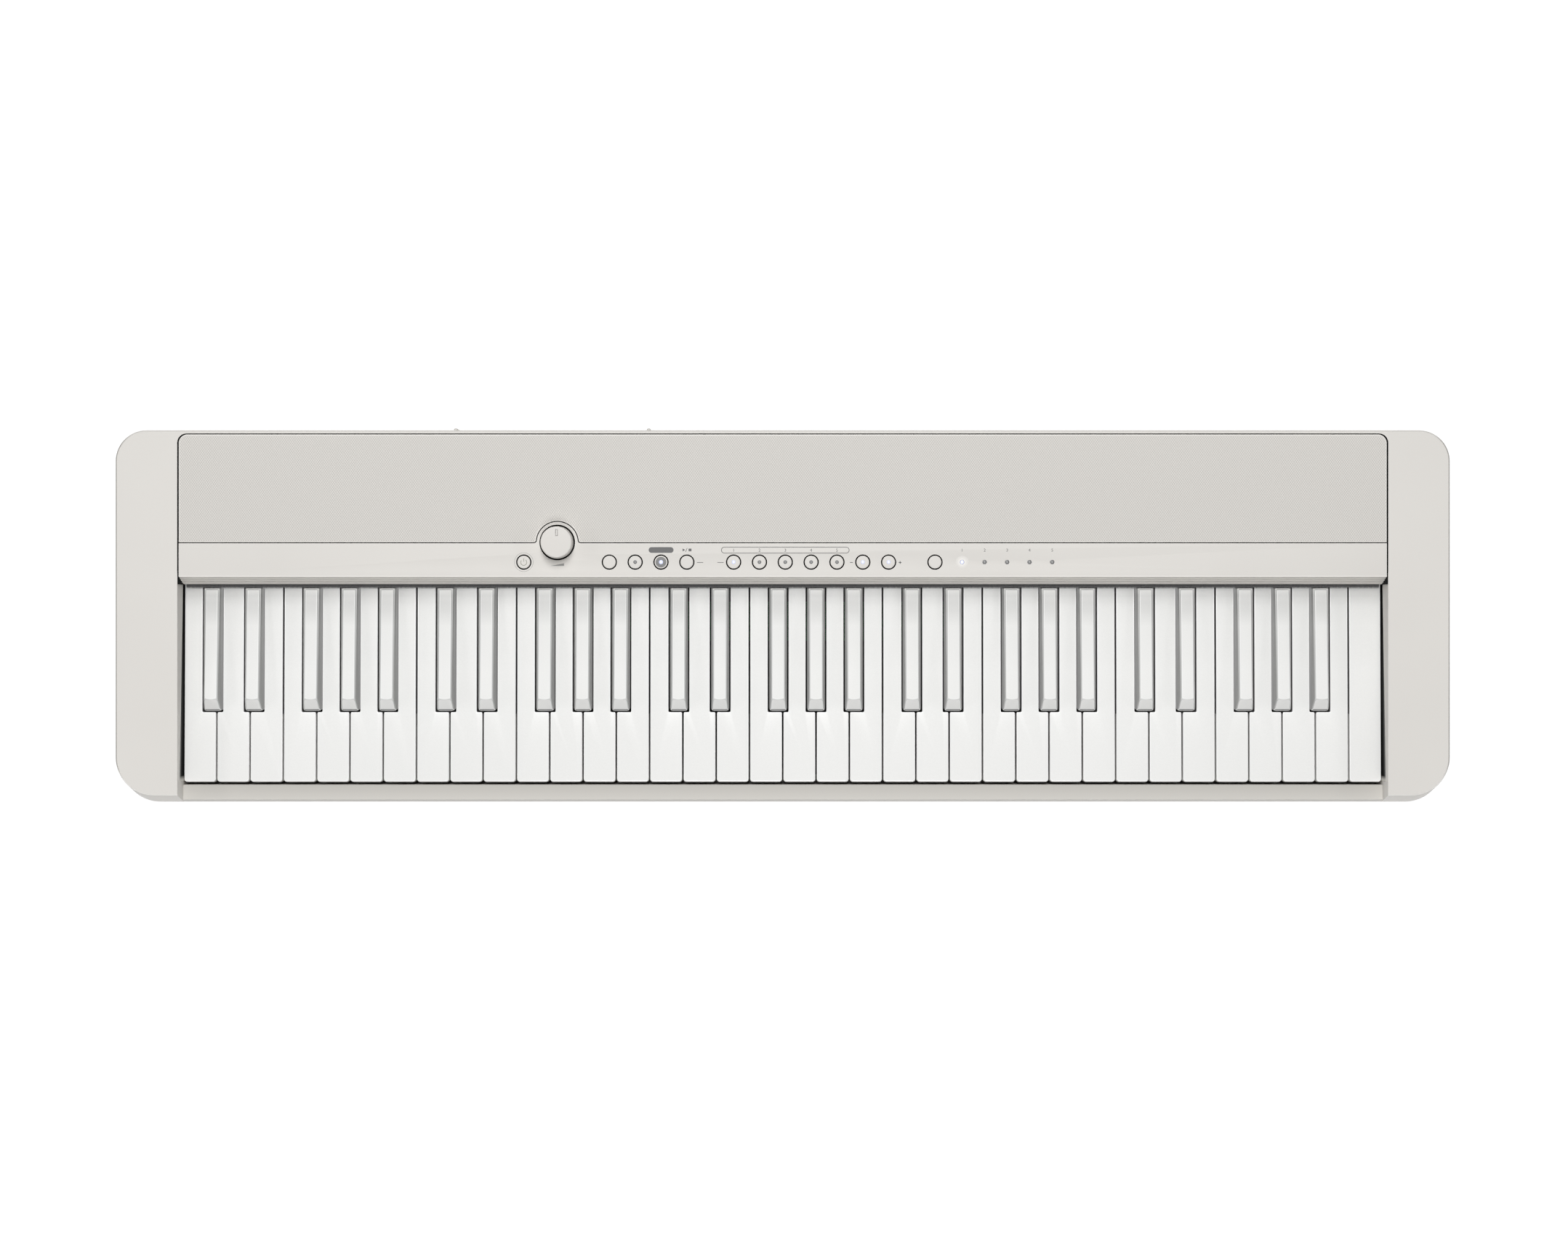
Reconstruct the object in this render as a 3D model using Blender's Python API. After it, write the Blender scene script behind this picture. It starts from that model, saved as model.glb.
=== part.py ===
"""A 61-note portable keyboard, modelled at its real size as an assembly of separate pieces.

Axes: +X to the player's right, +Y to the rear, +Z up. The body rests on its rubber feet at z = 0.
Lengths in this file are millimetres and are turned into metres when a mesh is made.
"""

import math

import bmesh
import bpy
from mathutils import Vector

MM = 0.001

# ---------------------------------------------------------------- driving dimensions
WIDTH, DEPTH = 930.0, 260.0
REAR_RADIUS, FRONT_RADIUS = 21.5, 27.0
TOP_Z = 61.5
SPLIT_Z = 22.0
BASE_Z = 3.5
WALL = 2.8
BOX_SHIFT_Y = -0.8  # the two rear ribs stand 1.6 mm proud, so this centres the whole box

DECK_Z = 59.0
PLATE_Z0, PLATE_Z1 = 59.3, 61.5
PLATE_HALF = 420.9
BAY_HALF = 421.85
SLIP_REAR_Y = -117.8
PANEL_REAR_Y, GRILLE_FRONT_Y, GRILLE_REAR_Y = 51.3, 51.9, 127.1

PITCH = 23.43
KEY_GAP = 1.0
KEY_FRONT_Y, NOTCH_Y = -116.1, -67.0
KEY_TOP_Z, KEY_SLOPE = 41.5, 0.0228
KEY_BASE_Z = 26.0
OUTER_KEY_EDGE = 420.95
SLOT_HALF = 7.3
SHARP_HALF, SHARP_TOP_HALF = 6.35, 4.5
SHARP_OFFSET = {0: -2.8, 1: 2.8, 3: -3.2, 4: 0.0, 5: 3.2}  # from the line between two naturals
HINGE_Y, HINGE_Z = 62.0, 30.0
ARM_REAR_Y, SINGLE_REAR_Y = 56.6, 66.0
RAIL_Y0, RAIL_Y1 = 58.5, 70.0
RAIL_Z = {"cegb": (26.0, 29.0), "dfa": (30.0, 33.0), "sharp": (34.0, 37.0)}

KNOB_X, KNOB_Y = -157.1, 51.8
BUTTON_Y = 38.1
BUTTONS = {
    "power_button": -180.4,
    "function_button": -120.8,
    "wireless_button": -102.8,
    "effect_button": -84.8,
    "play_button": -66.8,
    "tone_button_1": -34.2,
    "tone_button_2": -16.2,
    "tone_button_3": 1.8,
    "tone_button_4": 19.8,
    "tone_button_5": 37.8,
    "balance_minus_button": 55.8,
    "balance_plus_button": 73.8,
    "song_button": 106.1,
}
HOLE_R, CAP_R, FLANGE_R = 5.35, 4.5, 5.9
LIGHTS_X = (125.0, 140.7, 156.4, 172.0, 187.8)
SPEAKER_X, SPEAKER_Y = 330.0, 93.0
FOOT_X, FOOT_Y = 400.0, 100.0
JACK_Z = 34.0
JACKS = {"phones_jack": -115.0, "pedal_jack": -145.0, "usb_port": -176.0, "dc_inlet": -205.0}
RIB_X = (-228.3, -93.6)

for old in list(bpy.data.objects):
    bpy.data.objects.remove(old, do_unlink=True)

scene = bpy.context.scene
origin = bpy.data.objects.new("keyboard_origin", None)
origin.location = (0.0, BOX_SHIFT_Y * MM, 0.0)
scene.collection.objects.link(origin)


# ---------------------------------------------------------------- materials
def material(name, colour, roughness=0.5, metallic=0.0):
    made = bpy.data.materials.new(name)
    made.use_nodes = True
    shader = made.node_tree.nodes["Principled BSDF"]
    shader.inputs["Base Color"].default_value = (*colour, 1.0)
    shader.inputs["Roughness"].default_value = roughness
    shader.inputs["Metallic"].default_value = metallic
    made.diffuse_color = (*colour, 1.0)
    return made


CASE = material("case_plastic", (0.73, 0.72, 0.69), 0.5)
PANEL = material("panel_plastic", (0.74, 0.73, 0.70), 0.48)
CLOTH = material("speaker_cloth", (0.66, 0.64, 0.61), 0.9)
FELT = material("felt", (0.07, 0.07, 0.075), 0.95)
NATURAL = material("natural_plastic", (0.86, 0.86, 0.84), 0.35)
SHARP = material("sharp_plastic", (0.84, 0.84, 0.82), 0.4)
BUTTON = material("button_plastic", (0.72, 0.71, 0.68), 0.45)
GREY_BUTTON = material("button_plastic_grey", (0.36, 0.36, 0.35), 0.4)
KNOB = material("knob_plastic", (0.74, 0.73, 0.70), 0.42)
FRAME = material("chassis_plastic", (0.10, 0.10, 0.10), 0.6)
BOARD = material("circuit_board", (0.06, 0.22, 0.10), 0.5)
CONE = material("speaker_cone", (0.05, 0.05, 0.05), 0.7)
GUIDE = material("light_guide", (0.80, 0.80, 0.78), 0.2)
RUBBER = material("rubber", (0.05, 0.05, 0.05), 0.85)
SOCKET = material("socket_plastic", (0.04, 0.04, 0.04), 0.5)
SHELL = material("socket_metal", (0.55, 0.55, 0.56), 0.3, 1.0)


# ---------------------------------------------------------------- mesh helpers
def loft(bm, loops):
    """Closed skin through loops of equal length, each a list of (x, y, z)."""
    rings = [[bm.verts.new(Vector(p) * MM) for p in loop] for loop in loops]
    count = len(rings[0])
    for low, high in zip(rings, rings[1:]):
        for i in range(count):
            j = (i + 1) % count
            bm.faces.new((low[i], low[j], high[j], high[i]))
    bm.faces.new(list(reversed(rings[0])))
    bm.faces.new(rings[-1])


def at_z(loop, z):
    return [(x, y, z) for x, y in loop]


def prism(bm, loop, z0, z1):
    loft(bm, [at_z(loop, z0), at_z(loop, z1)])


def box(bm, x0, x1, y0, y1, z0, z1):
    prism(bm, [(x0, y0), (x1, y0), (x1, y1), (x0, y1)], z0, z1)


def profile_x(bm, points, x0, x1):
    """A (y, z) outline drawn out along X."""
    loft(bm, [[(x0, y, z) for y, z in points], [(x1, y, z) for y, z in points]])


def circle(x, y, radius, segments, radius_y=None):
    radius_y = radius if radius_y is None else radius_y
    turn = 2 * math.pi / segments
    return [
        (x + radius * math.cos(turn * i), y + radius_y * math.sin(turn * i))
        for i in range(segments)
    ]


def rounded(x0, x1, y0, y1, front, rear, segments=7):
    """A rectangle with its front corners and its rear corners rounded, anticlockwise from above."""
    corners = (
        (x0 + front, y0 + front, front, 180),
        (x1 - front, y0 + front, front, 270),
        (x1 - rear, y1 - rear, rear, 0),
        (x0 + rear, y1 - rear, rear, 90),
    )
    loop = []
    for cx, cy, radius, start in corners:
        for i in range(segments + 1):
            angle = math.radians(start + 90 * i / segments)
            loop.append((cx + radius * math.cos(angle), cy + radius * math.sin(angle)))
    return loop


def turned(bm, x, y, profile, segments):
    """A closed body turned about the vertical line through (x, y); the profile starts and ends on the axis or is a ring."""
    loft(bm, [at_z(circle(x, y, r, segments), z) for r, z in profile])


def bar_y(bm, x, z, radius, y0, y1, segments):
    ring = circle(x, z, radius, segments)
    loft(bm, [[(u, y0, w) for u, w in ring], [(u, y1, w) for u, w in ring]])


def place(name, bm, surface, at=(0.0, 0.0, 0.0), smooth=False):
    """A named object whose origin is at the point given, in the body's frame."""
    bmesh.ops.recalc_face_normals(bm, faces=bm.faces)
    shift = Vector(at) * MM
    for vert in bm.verts:
        vert.co -= shift
    mesh = bpy.data.meshes.new(name)
    bm.to_mesh(mesh)
    bm.free()
    mesh.materials.append(surface)
    if smooth:
        mesh.shade_smooth()
        mesh.set_sharp_from_angle(angle=math.radians(35))
    obj = bpy.data.objects.new(name, mesh)
    obj.location = shift
    obj.parent = origin
    scene.collection.objects.link(obj)
    return obj


def tool(name, bm):
    obj = place(name, bm, CASE)
    obj.hide_render = True
    obj.display_type = "WIRE"
    return obj


def boolean(obj, bm, name, operation="DIFFERENCE"):
    helper = tool(name, bm)
    step = obj.modifiers.new(name, "BOOLEAN")
    step.operation = operation
    step.solver = "EXACT"
    step.object = helper


# ---------------------------------------------------------------- upper case
def outline(inset, front_extra=0.0):
    return rounded(
        -WIDTH / 2 + inset,
        WIDTH / 2 - inset,
        -DEPTH / 2 + inset + front_extra,
        DEPTH / 2 - inset,
        FRONT_RADIUS - inset,
        REAR_RADIUS - inset,
    )


bm = bmesh.new()
loft(
    bm,
    [
        at_z(outline(0.0), SPLIT_Z),
        at_z(outline(0.0), 40.0),
        at_z(outline(0.25, 5.4), TOP_Z - 1.0),
        at_z(outline(0.9, 5.7), TOP_Z),
    ],
)
upper_case = place("upper_case", bm, CASE)

bm = bmesh.new()  # the key bay, and the low front rail before it
profile_x(
    bm,
    [
        (-140.0, 22.9),
        (-128.3, 41.5),
        (SLIP_REAR_Y, 41.0),
        (SLIP_REAR_Y, 15.0),
        (34.0, 15.0),
        (34.0, 70.0),
        (-140.0, 70.0),
    ],
    -BAY_HALF,
    BAY_HALF,
)
boolean(upper_case, bm, "cut_key_bay")

bm = bmesh.new()  # the shallow recess that the panel and grille lie in
prism(bm, rounded(-PLATE_HALF - 0.6, PLATE_HALF + 0.6, 30.0, 127.75, 2.0, 6.5, 4), DECK_Z, 70.0)
boolean(upper_case, bm, "cut_plate_recess")

bm = bmesh.new()  # the inside behind the keys
prism(
    bm,
    rounded(-WIDTH / 2 + WALL, WIDTH / 2 - WALL, 27.0, DEPTH / 2 - WALL, 1.0, REAR_RADIUS - WALL, 5),
    15.0,
    DECK_Z - 2.5,
)
boolean(upper_case, bm, "cut_rear_hollow")

for side, sign in (("left", -1), ("right", 1)):
    bm = bmesh.new()  # the inside of an end block
    inner, outer = BAY_HALF + 2.5, WIDTH / 2 - WALL
    radius = FRONT_RADIUS - WALL

    def end_loop(y0, z):
        corner = [
            (
                outer - radius + radius * math.cos(math.radians(-90 + 18 * i)),
                y0 + radius + radius * math.sin(math.radians(-90 + 18 * i)),
            )
            for i in range(6)
        ]
        return [(sign * x, y, z) for x, y in [(inner, y0), *corner, (outer, 40.0), (inner, 40.0)]]

    loft(bm, [end_loop(-126.9, 15.0), end_loop(-126.9, 40.0), end_loop(-121.2, TOP_Z - 2.6)])
    boolean(upper_case, bm, f"cut_end_hollow_{side}")

bm = bmesh.new()  # the inside of the front rail
box(bm, -430.0, 430.0, -126.6, SLIP_REAR_Y - 2.4, 15.0, 38.3)
boolean(upper_case, bm, "cut_rail_hollow")

bm = bmesh.new()  # openings in the deck
box(bm, -190.0, 204.0, 25.0, 49.8, 54.0, 61.0)
for sign in (-1, 1):
    prism(bm, circle(sign * SPEAKER_X, SPEAKER_Y, 52.0, 20, 24.0), 54.0, 61.0)
boolean(upper_case, bm, "cut_deck")
bm = bmesh.new()
box(bm, KNOB_X - 10.5, KNOB_X + 10.5, 44.0, 61.0, 53.5, 60.5)
boolean(upper_case, bm, "cut_deck_knob")

bm = bmesh.new()  # the two ribs that stand up beside the terminals at the rear
for x in RIB_X:
    prism(
        bm,
        [(x - 1.4, 128.5), (x + 1.4, 128.5), (x + 1.2, 130.9), (x + 0.6, 131.6), (x - 0.6, 131.6), (x - 1.2, 130.9)],
        26.0,
        57.0,
    )
boolean(upper_case, bm, "add_rear_ribs", "UNION")

bm = bmesh.new()  # terminal openings
for name, radius in (("phones_jack", 4.6), ("pedal_jack", 6.4), ("dc_inlet", 5.0)):
    bar_y(bm, JACKS[name], JACK_Z, radius, 124.0, 140.0, 12)
box(bm, JACKS["usb_port"] - 6.6, JACKS["usb_port"] + 6.6, 124.0, 140.0, JACK_Z - 6.5, JACK_Z + 4.1)
boolean(upper_case, bm, "cut_terminals")

# ---------------------------------------------------------------- lower case
bm = bmesh.new()
loft(
    bm,
    [
        at_z(outline(6.0), BASE_Z),
        at_z(outline(2.4), 5.6),
        at_z(outline(0.7), 11.0),
        at_z(outline(0.7), SPLIT_Z - 0.3),
    ],
)
lower_case = place("lower_case", bm, CASE)
bm = bmesh.new()
loft(bm, [at_z(outline(8.4), 6.0), at_z(outline(3.5), 12.5), at_z(outline(3.5), 30.0)])
boolean(lower_case, bm, "cut_tray")

BATTERY = (30.0, 150.0, 85.0, 120.0)
bm = bmesh.new()  # battery box and posts
x0, x1, y0, y1 = BATTERY
box(bm, x0 - 2.4, x1 + 2.4, y0 - 2.4, y1 + 2.4, 4.6, 22.6)
for x in (-405.0, -270.0, -135.0, 0.0, 135.0, 270.0, 405.0):
    for y in (-106.0, 66.0):
        prism(bm, circle(x, y, 4.5, 8), 5.0, 8.7)
for x in (-228.0, -92.0):
    for y in (89.0,):
        prism(bm, circle(x, y, 3.5, 8), 5.0, 25.7)
boolean(lower_case, bm, "add_posts", "UNION")
bm = bmesh.new()
box(bm, x0, x1, y0, y1, 0.0, 20.4)
for sx in (-1, 1):
    for sy in (-1, 1):
        prism(bm, circle(sx * FOOT_X, sy * FOOT_Y, 9.5, 16), 0.0, 4.6)
boolean(lower_case, bm, "cut_battery_and_feet")

bm = bmesh.new()
prism(bm, rounded(x0 + 0.5, x1 - 0.5, y0 + 0.5, y1 - 0.5, 2.0, 2.0, 3), BASE_Z + 0.3, 5.8)
battery_cover = place("battery_cover", bm, CASE)
bm = bmesh.new()  # the finger latch's slot
box(bm, 84.0, 96.0, y1 - 6.5, y1 - 5.3, 0.0, 10.0)
boolean(battery_cover, bm, "cut_latch_slot")

for name, sx, sy in (
    ("foot_front_left", -1, -1),
    ("foot_front_right", 1, -1),
    ("foot_rear_left", -1, 1),
    ("foot_rear_right", 1, 1),
):
    bm = bmesh.new()
    turned(bm, sx * FOOT_X, sy * FOOT_Y, [(8.0, 0.0), (9.0, 0.8), (9.0, 4.3)], 16)
    place(name, bm, RUBBER, smooth=True)

# ---------------------------------------------------------------- grille, panel, felt
bm = bmesh.new()
prism(bm, rounded(-PLATE_HALF, PLATE_HALF, GRILLE_FRONT_Y, GRILLE_REAR_Y, 0.8, 6.0, 4), PLATE_Z0, PLATE_Z1)
speaker_grille = place("speaker_grille", bm, CLOTH)
bm = bmesh.new()
prism(bm, circle(KNOB_X, KNOB_Y, 15.1, 32), 55.0, 65.0)
boolean(speaker_grille, bm, "cut_knob_notch")

bm = bmesh.new()
profile_x(
    bm,
    [
        (PANEL_REAR_Y, PLATE_Z1),
        (28.4, PLATE_Z1),
        (27.8, 61.0),
        (27.5, 57.4),
        (26.5, 56.9),
        (26.2, 52.9),
        (25.2, 52.4),
        (24.9, 48.2),
        (23.9, 47.7),
        (23.3, 42.8),
        (25.4, 42.8),
        (29.9, PLATE_Z0),
        (PANEL_REAR_Y, PLATE_Z0),
    ],
    -PLATE_HALF,
    PLATE_HALF,
)
control_panel = place("control_panel", bm, PANEL)
bm = bmesh.new()
prism(bm, circle(KNOB_X, KNOB_Y, 14.3, 32), PLATE_Z0, PLATE_Z1)
boolean(control_panel, bm, "add_knob_bay", "UNION")
bm = bmesh.new()  # screw posts down to the button board
for x in (-140.0, -50.5, 90.0, 198.0):
    prism(bm, circle(x, 44.5, 3.0, 8), 52.9, 60.2)
boolean(control_panel, bm, "add_posts_to_panel", "UNION")
bm = bmesh.new()
for x in BUTTONS.values():
    prism(bm, circle(x, BUTTON_Y, HOLE_R, 16), 55.0, 65.0)
for x in LIGHTS_X:
    prism(bm, circle(x, BUTTON_Y, 1.7, 8), 55.0, 65.0)
prism(bm, circle(KNOB_X, KNOB_Y, 4.0, 12), 50.0, 60.8)
boolean(control_panel, bm, "cut_panel_holes")
bm = bmesh.new()
prism(bm, circle(KNOB_X, KNOB_Y, 12.35, 24), 60.3, 70.0)
boolean(control_panel, bm, "cut_knob_recess")

bm = bmesh.new()
box(bm, -419.2, 419.2, 20.9, 26.4, 38.95, 42.4)
place("felt_strip", bm, FELT)

# ---------------------------------------------------------------- knob, buttons, light guide
bm = bmesh.new()
turned(
    bm,
    KNOB_X,
    KNOB_Y,
    [(3.3, 71.4), (3.3, 60.75), (11.15, 60.75), (11.3, 61.2), (10.95, 70.8), (10.75, 72.2), (10.1, 73.0)],
    24,
)
place("volume_knob", bm, KNOB, (KNOB_X, KNOB_Y, 60.75), smooth=True)

for name, x in BUTTONS.items():
    bm = bmesh.new()
    turned(
        bm,
        x,
        BUTTON_Y,
        [(2.2, 56.0), (2.2, 57.0), (FLANGE_R, 57.0), (FLANGE_R, 58.4), (CAP_R, 58.4), (CAP_R, 61.7), (4.1, 62.1)],
        12,
    )
    place(name, bm, GREY_BUTTON if name == "effect_button" else BUTTON, (x, BUTTON_Y, 62.1), smooth=True)

bm = bmesh.new()
box(bm, 121.0, 192.0, 35.6, 40.6, 56.9, 58.7)
light_guide = place("indicator_light_guide", bm, GUIDE)
bm = bmesh.new()
for x in LIGHTS_X:
    prism(bm, circle(x, BUTTON_Y, 1.4, 8), 57.6, 61.45)
boolean(light_guide, bm, "add_light_pins", "UNION")

bm = bmesh.new()
box(bm, -192.0, 206.0, 31.0, 62.0, 51.0, 52.6)
panel_board = place("panel_board", bm, BOARD)
bm = bmesh.new()  # switches, lamps and the volume control's body
for x in BUTTONS.values():
    box(bm, x - 3.0, x + 3.0, BUTTON_Y - 3.0, BUTTON_Y + 3.0, 52.0, 55.0)
for x in LIGHTS_X:
    box(bm, x - 1.4, x + 1.4, BUTTON_Y - 1.4, BUTTON_Y + 1.4, 52.0, 56.4)
box(bm, KNOB_X - 7.0, KNOB_X + 7.0, KNOB_Y - 7.0, KNOB_Y + 7.0, 52.0, 57.8)
boolean(panel_board, bm, "add_switches", "UNION")
bm = bmesh.new()
prism(bm, circle(KNOB_X, KNOB_Y, 2.95, 12), 57.0, 71.0)
boolean(panel_board, bm, "add_volume_shaft", "UNION")

# ---------------------------------------------------------------- speakers
for name, sign in (("speaker_left", -1), ("speaker_right", 1)):
    bm = bmesh.new()
    loft(
        bm,
        [
            at_z(circle(sign * SPEAKER_X, SPEAKER_Y, a, 20, b), z)
            for a, b, z in (
                (20.0, 20.0, 29.0),
                (20.0, 20.0, 37.5),
                (25.0, 22.5, 39.5),
                (56.0, 26.5, 53.2),
                (61.0, 30.0, 53.6),
                (61.0, 30.0, 56.0),
                (52.0, 23.5, 56.0),
                (15.0, 11.0, 45.0),
                (9.0, 7.0, 48.0),
            )
        ],
    )
    place(name, bm, CONE, smooth=True)

# ---------------------------------------------------------------- key chassis and boards inside
bm = bmesh.new()
profile_x(
    bm,
    [
        (-112.0, 9.0),
        (78.0, 9.0),
        (78.0, 11.2),
        (74.0, 11.2),
        (74.0, 25.1),
        (56.5, 25.1),
        (56.5, 11.2),
        (12.0, 11.2),
        (12.0, 16.7),
        (-18.0, 16.7),
        (-18.0, 11.2),
        (-100.0, 11.2),
        (-100.0, 16.0),
        (-112.0, 16.0),
    ],
    -417.0,
    417.0,
)
place("key_chassis", bm, FRAME)

bm = bmesh.new()
profile_x(
    bm,
    [(-17.0, 17.0), (11.0, 17.0), (11.0, 18.6), (2.0, 18.6), (1.0, 21.2), (-7.0, 21.2), (-8.0, 18.6), (-17.0, 18.6)],
    -410.0,
    410.0,
)
place("key_contact_board", bm, BOARD)

bm = bmesh.new()
box(bm, -236.0, -84.0, 83.0, 121.0, 26.0, 27.6)
main_board = place("main_board", bm, BOARD)
bm = bmesh.new()
box(bm, -215.0, -195.0, 88.0, 100.0, 27.0, 30.0)
box(bm, -180.0, -162.0, 86.0, 98.0, 27.0, 29.4)
box(bm, -152.0, -140.0, 86.0, 95.0, 27.0, 35.0)
boolean(main_board, bm, "add_chips", "UNION")


def jack(name, half, height, y0, barrel, hole, depth, surface):
    x = JACKS[name]
    bm = bmesh.new()
    box(bm, x - half, x + half, y0, 126.8, JACK_Z - 6.0, JACK_Z - 6.0 + height)
    obj = place(name, bm, surface)
    if barrel:
        bm = bmesh.new()
        bar_y(bm, x, JACK_Z, barrel, 120.0, 129.5, 12)
        boolean(obj, bm, f"add_barrel_{name}", "UNION")
    bm = bmesh.new()
    bar_y(bm, x, JACK_Z, hole, 129.5 - depth, 140.0, 12)
    boolean(obj, bm, f"cut_bore_{name}")
    return obj


jack("phones_jack", 5.5, 11.0, 112.0, 4.0, 1.8, 14.0, SOCKET)
jack("pedal_jack", 8.0, 14.0, 101.0, 5.8, 3.25, 24.0, SOCKET)
dc = jack("dc_inlet", 5.0, 11.0, 114.0, 4.4, 2.9, 10.0, SOCKET)
bm = bmesh.new()
bar_y(bm, JACKS["dc_inlet"], JACK_Z, 0.9, 117.0, 128.6, 8)
boolean(dc, bm, "add_dc_pin", "UNION")

bm = bmesh.new()
x = JACKS["usb_port"]
box(bm, x - 6.0, x + 6.0, 113.0, 129.5, 28.0, 37.6)
usb_port = place("usb_port", bm, SHELL)
bm = bmesh.new()
box(bm, x - 4.6, x + 4.6, 117.0, 140.0, JACK_Z - 3.4, JACK_Z + 2.6)
boolean(usb_port, bm, "cut_usb_mouth")
bm = bmesh.new()
box(bm, x - 2.8, x + 2.8, 115.0, 127.5, JACK_Z - 1.6, JACK_Z + 0.8)
boolean(usb_port, bm, "add_usb_tongue", "UNION")

# ---------------------------------------------------------------- keys
def natural_edges(index):
    """Head and shank limits in X of the natural at this index from the left."""
    note = index % 7
    left = -18 * PITCH + index * PITCH
    right = left + PITCH
    head_left = max(left + KEY_GAP / 2, -OUTER_KEY_EDGE)
    head_right = min(right - KEY_GAP / 2, OUTER_KEY_EDGE)
    before = SHARP_OFFSET.get((note - 1) % 7) if index else None
    after = SHARP_OFFSET.get(note) if index < 35 else None
    shank_left = head_left if before is None else left + before + SLOT_HALF
    shank_right = head_right if after is None else right + after - SLOT_HALF
    return head_left, head_right, shank_left, shank_right


def key_top(y):
    return KEY_TOP_Z - KEY_SLOPE * (y - KEY_FRONT_Y)


def natural(bm, index, rear):
    """An open-bottomed natural with a bevelled top edge; its shank runs back to the rear value."""
    hl, hr, sl, sr = natural_edges(index)

    def loop(inset, back):
        front, notch = KEY_FRONT_Y + inset, NOTCH_Y - inset
        points = [(hl + inset, front), (hr - inset, front)]
        if sr < hr:
            points += [(hr - inset, notch), (sr - inset, notch)]
        points += [(sr - inset, back), (sl + inset, back)]
        if sl > hl:
            points += [(sl + inset, notch), (hl + inset, notch)]
        return points

    outer = loop(0.0, rear)
    top = loop(0.5, rear - 0.5)
    inner = loop(1.6, 48.0)
    loft_open = [
        [(x, y, KEY_BASE_Z) for x, y in inner],
        [(x, y, KEY_BASE_Z) for x, y in outer],
        [(x, y, key_top(y) - 0.6) for x, y in outer],
        [(x, y, key_top(y)) for x, y in top],
    ]
    ceiling = [(x, y, key_top(y) - 2.2) for x, y in inner]
    loft(bm, [ceiling, *loft_open])


def sharp_centre(index):
    """X of the sharp after the natural at this index."""
    return -18 * PITCH + (index + 1) * PITCH + SHARP_OFFSET[index % 7]


def sharp(bm, index, rear):
    x = sharp_centre(index)
    mid = 39.4
    base = RAIL_Z["sharp"][0] - 4.0
    outline_yz = [
        (-66.2, base, SHARP_HALF),
        (-66.2, mid, SHARP_HALF),
        (-64.6, 42.0, 5.95),
        (-57.5, 48.8, SHARP_TOP_HALF),
        (18.0, 43.1, SHARP_TOP_HALF),
        (20.2, 42.0, 5.2),
        (20.2, mid, SHARP_HALF),
        (20.2, 38.0, SHARP_HALF),
        (rear, 37.4, SHARP_HALF),
        (rear, base, SHARP_HALF),
    ]
    sides = []
    for sign in (-1, 1):
        ring = [bm.verts.new(Vector((x + sign * w, y, z)) * MM) for y, z, w in outline_yz]
        bm.faces.new([ring[i] for i in (0, 1, 6, 7, 8, 9)])
        bm.faces.new([ring[i] for i in (1, 2, 3, 4, 5, 6)])
        sides.append(ring)
    for i in range(10):
        j = (i + 1) % 10
        bm.faces.new((sides[0][i], sides[0][j], sides[1][j], sides[1][i]))


def comb(name, kind, members, surface):
    """Keys moulded together through one rear rail."""
    z0, z1 = RAIL_Z[kind]
    if kind == "sharp":
        spans = [(sharp_centre(i) - SHARP_HALF, sharp_centre(i) + SHARP_HALF) for i in members]
    else:
        spans = [natural_edges(i)[2:] for i in members]
    bm = bmesh.new()
    box(bm, spans[0][0] + 1.0, spans[-1][1] - 1.0, RAIL_Y0, RAIL_Y1, z0, z1)
    obj = place(name, bm, surface, (0.0, HINGE_Y, HINGE_Z))
    bm = bmesh.new()
    for low, high in spans:
        middle = (low + high) / 2
        box(bm, middle - 3.5, middle + 3.5, 54.5, 60.5, z0 + 0.5, z1 - 0.5)
    boolean(obj, bm, f"add_hinges_{name}", "UNION")
    bm = bmesh.new()
    for i in members:
        if kind == "sharp":
            sharp(bm, i, ARM_REAR_Y)
        else:
            natural(bm, i, ARM_REAR_Y)
    boolean(obj, bm, f"add_keys_{name}", "UNION")


NOTES = ("c", "d", "e", "f", "g", "a", "b")
for octave in range(5):
    first = octave * 7
    number = octave + 2
    if octave == 2:
        for step in range(7):
            bm = bmesh.new()
            natural(bm, first + step, SINGLE_REAR_Y)
            place(f"key_{NOTES[step]}{number}", bm, NATURAL, (0.0, HINGE_Y, HINGE_Z))
            if step in SHARP_OFFSET:
                bm = bmesh.new()
                sharp(bm, first + step, SINGLE_REAR_Y)
                place(f"key_{NOTES[step]}_sharp{number}", bm, SHARP, (0.0, HINGE_Y, HINGE_Z))
        continue
    comb(f"keys_c_e_g_b_{number}", "cegb", [first + i for i in (0, 2, 4, 6)], NATURAL)
    comb(f"keys_d_f_a_{number}", "dfa", [first + i for i in (1, 3, 5)], NATURAL)
    comb(f"keys_sharps_{number}", "sharp", [first + i for i in (0, 1, 3, 4, 5)], SHARP)

bm = bmesh.new()
natural(bm, 35, SINGLE_REAR_Y)
place("key_c7", bm, NATURAL, (0.0, HINGE_Y, HINGE_Z))
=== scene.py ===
"""The look of a portable keyboard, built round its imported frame. Lengths in this file are millimetres."""

import math

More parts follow.
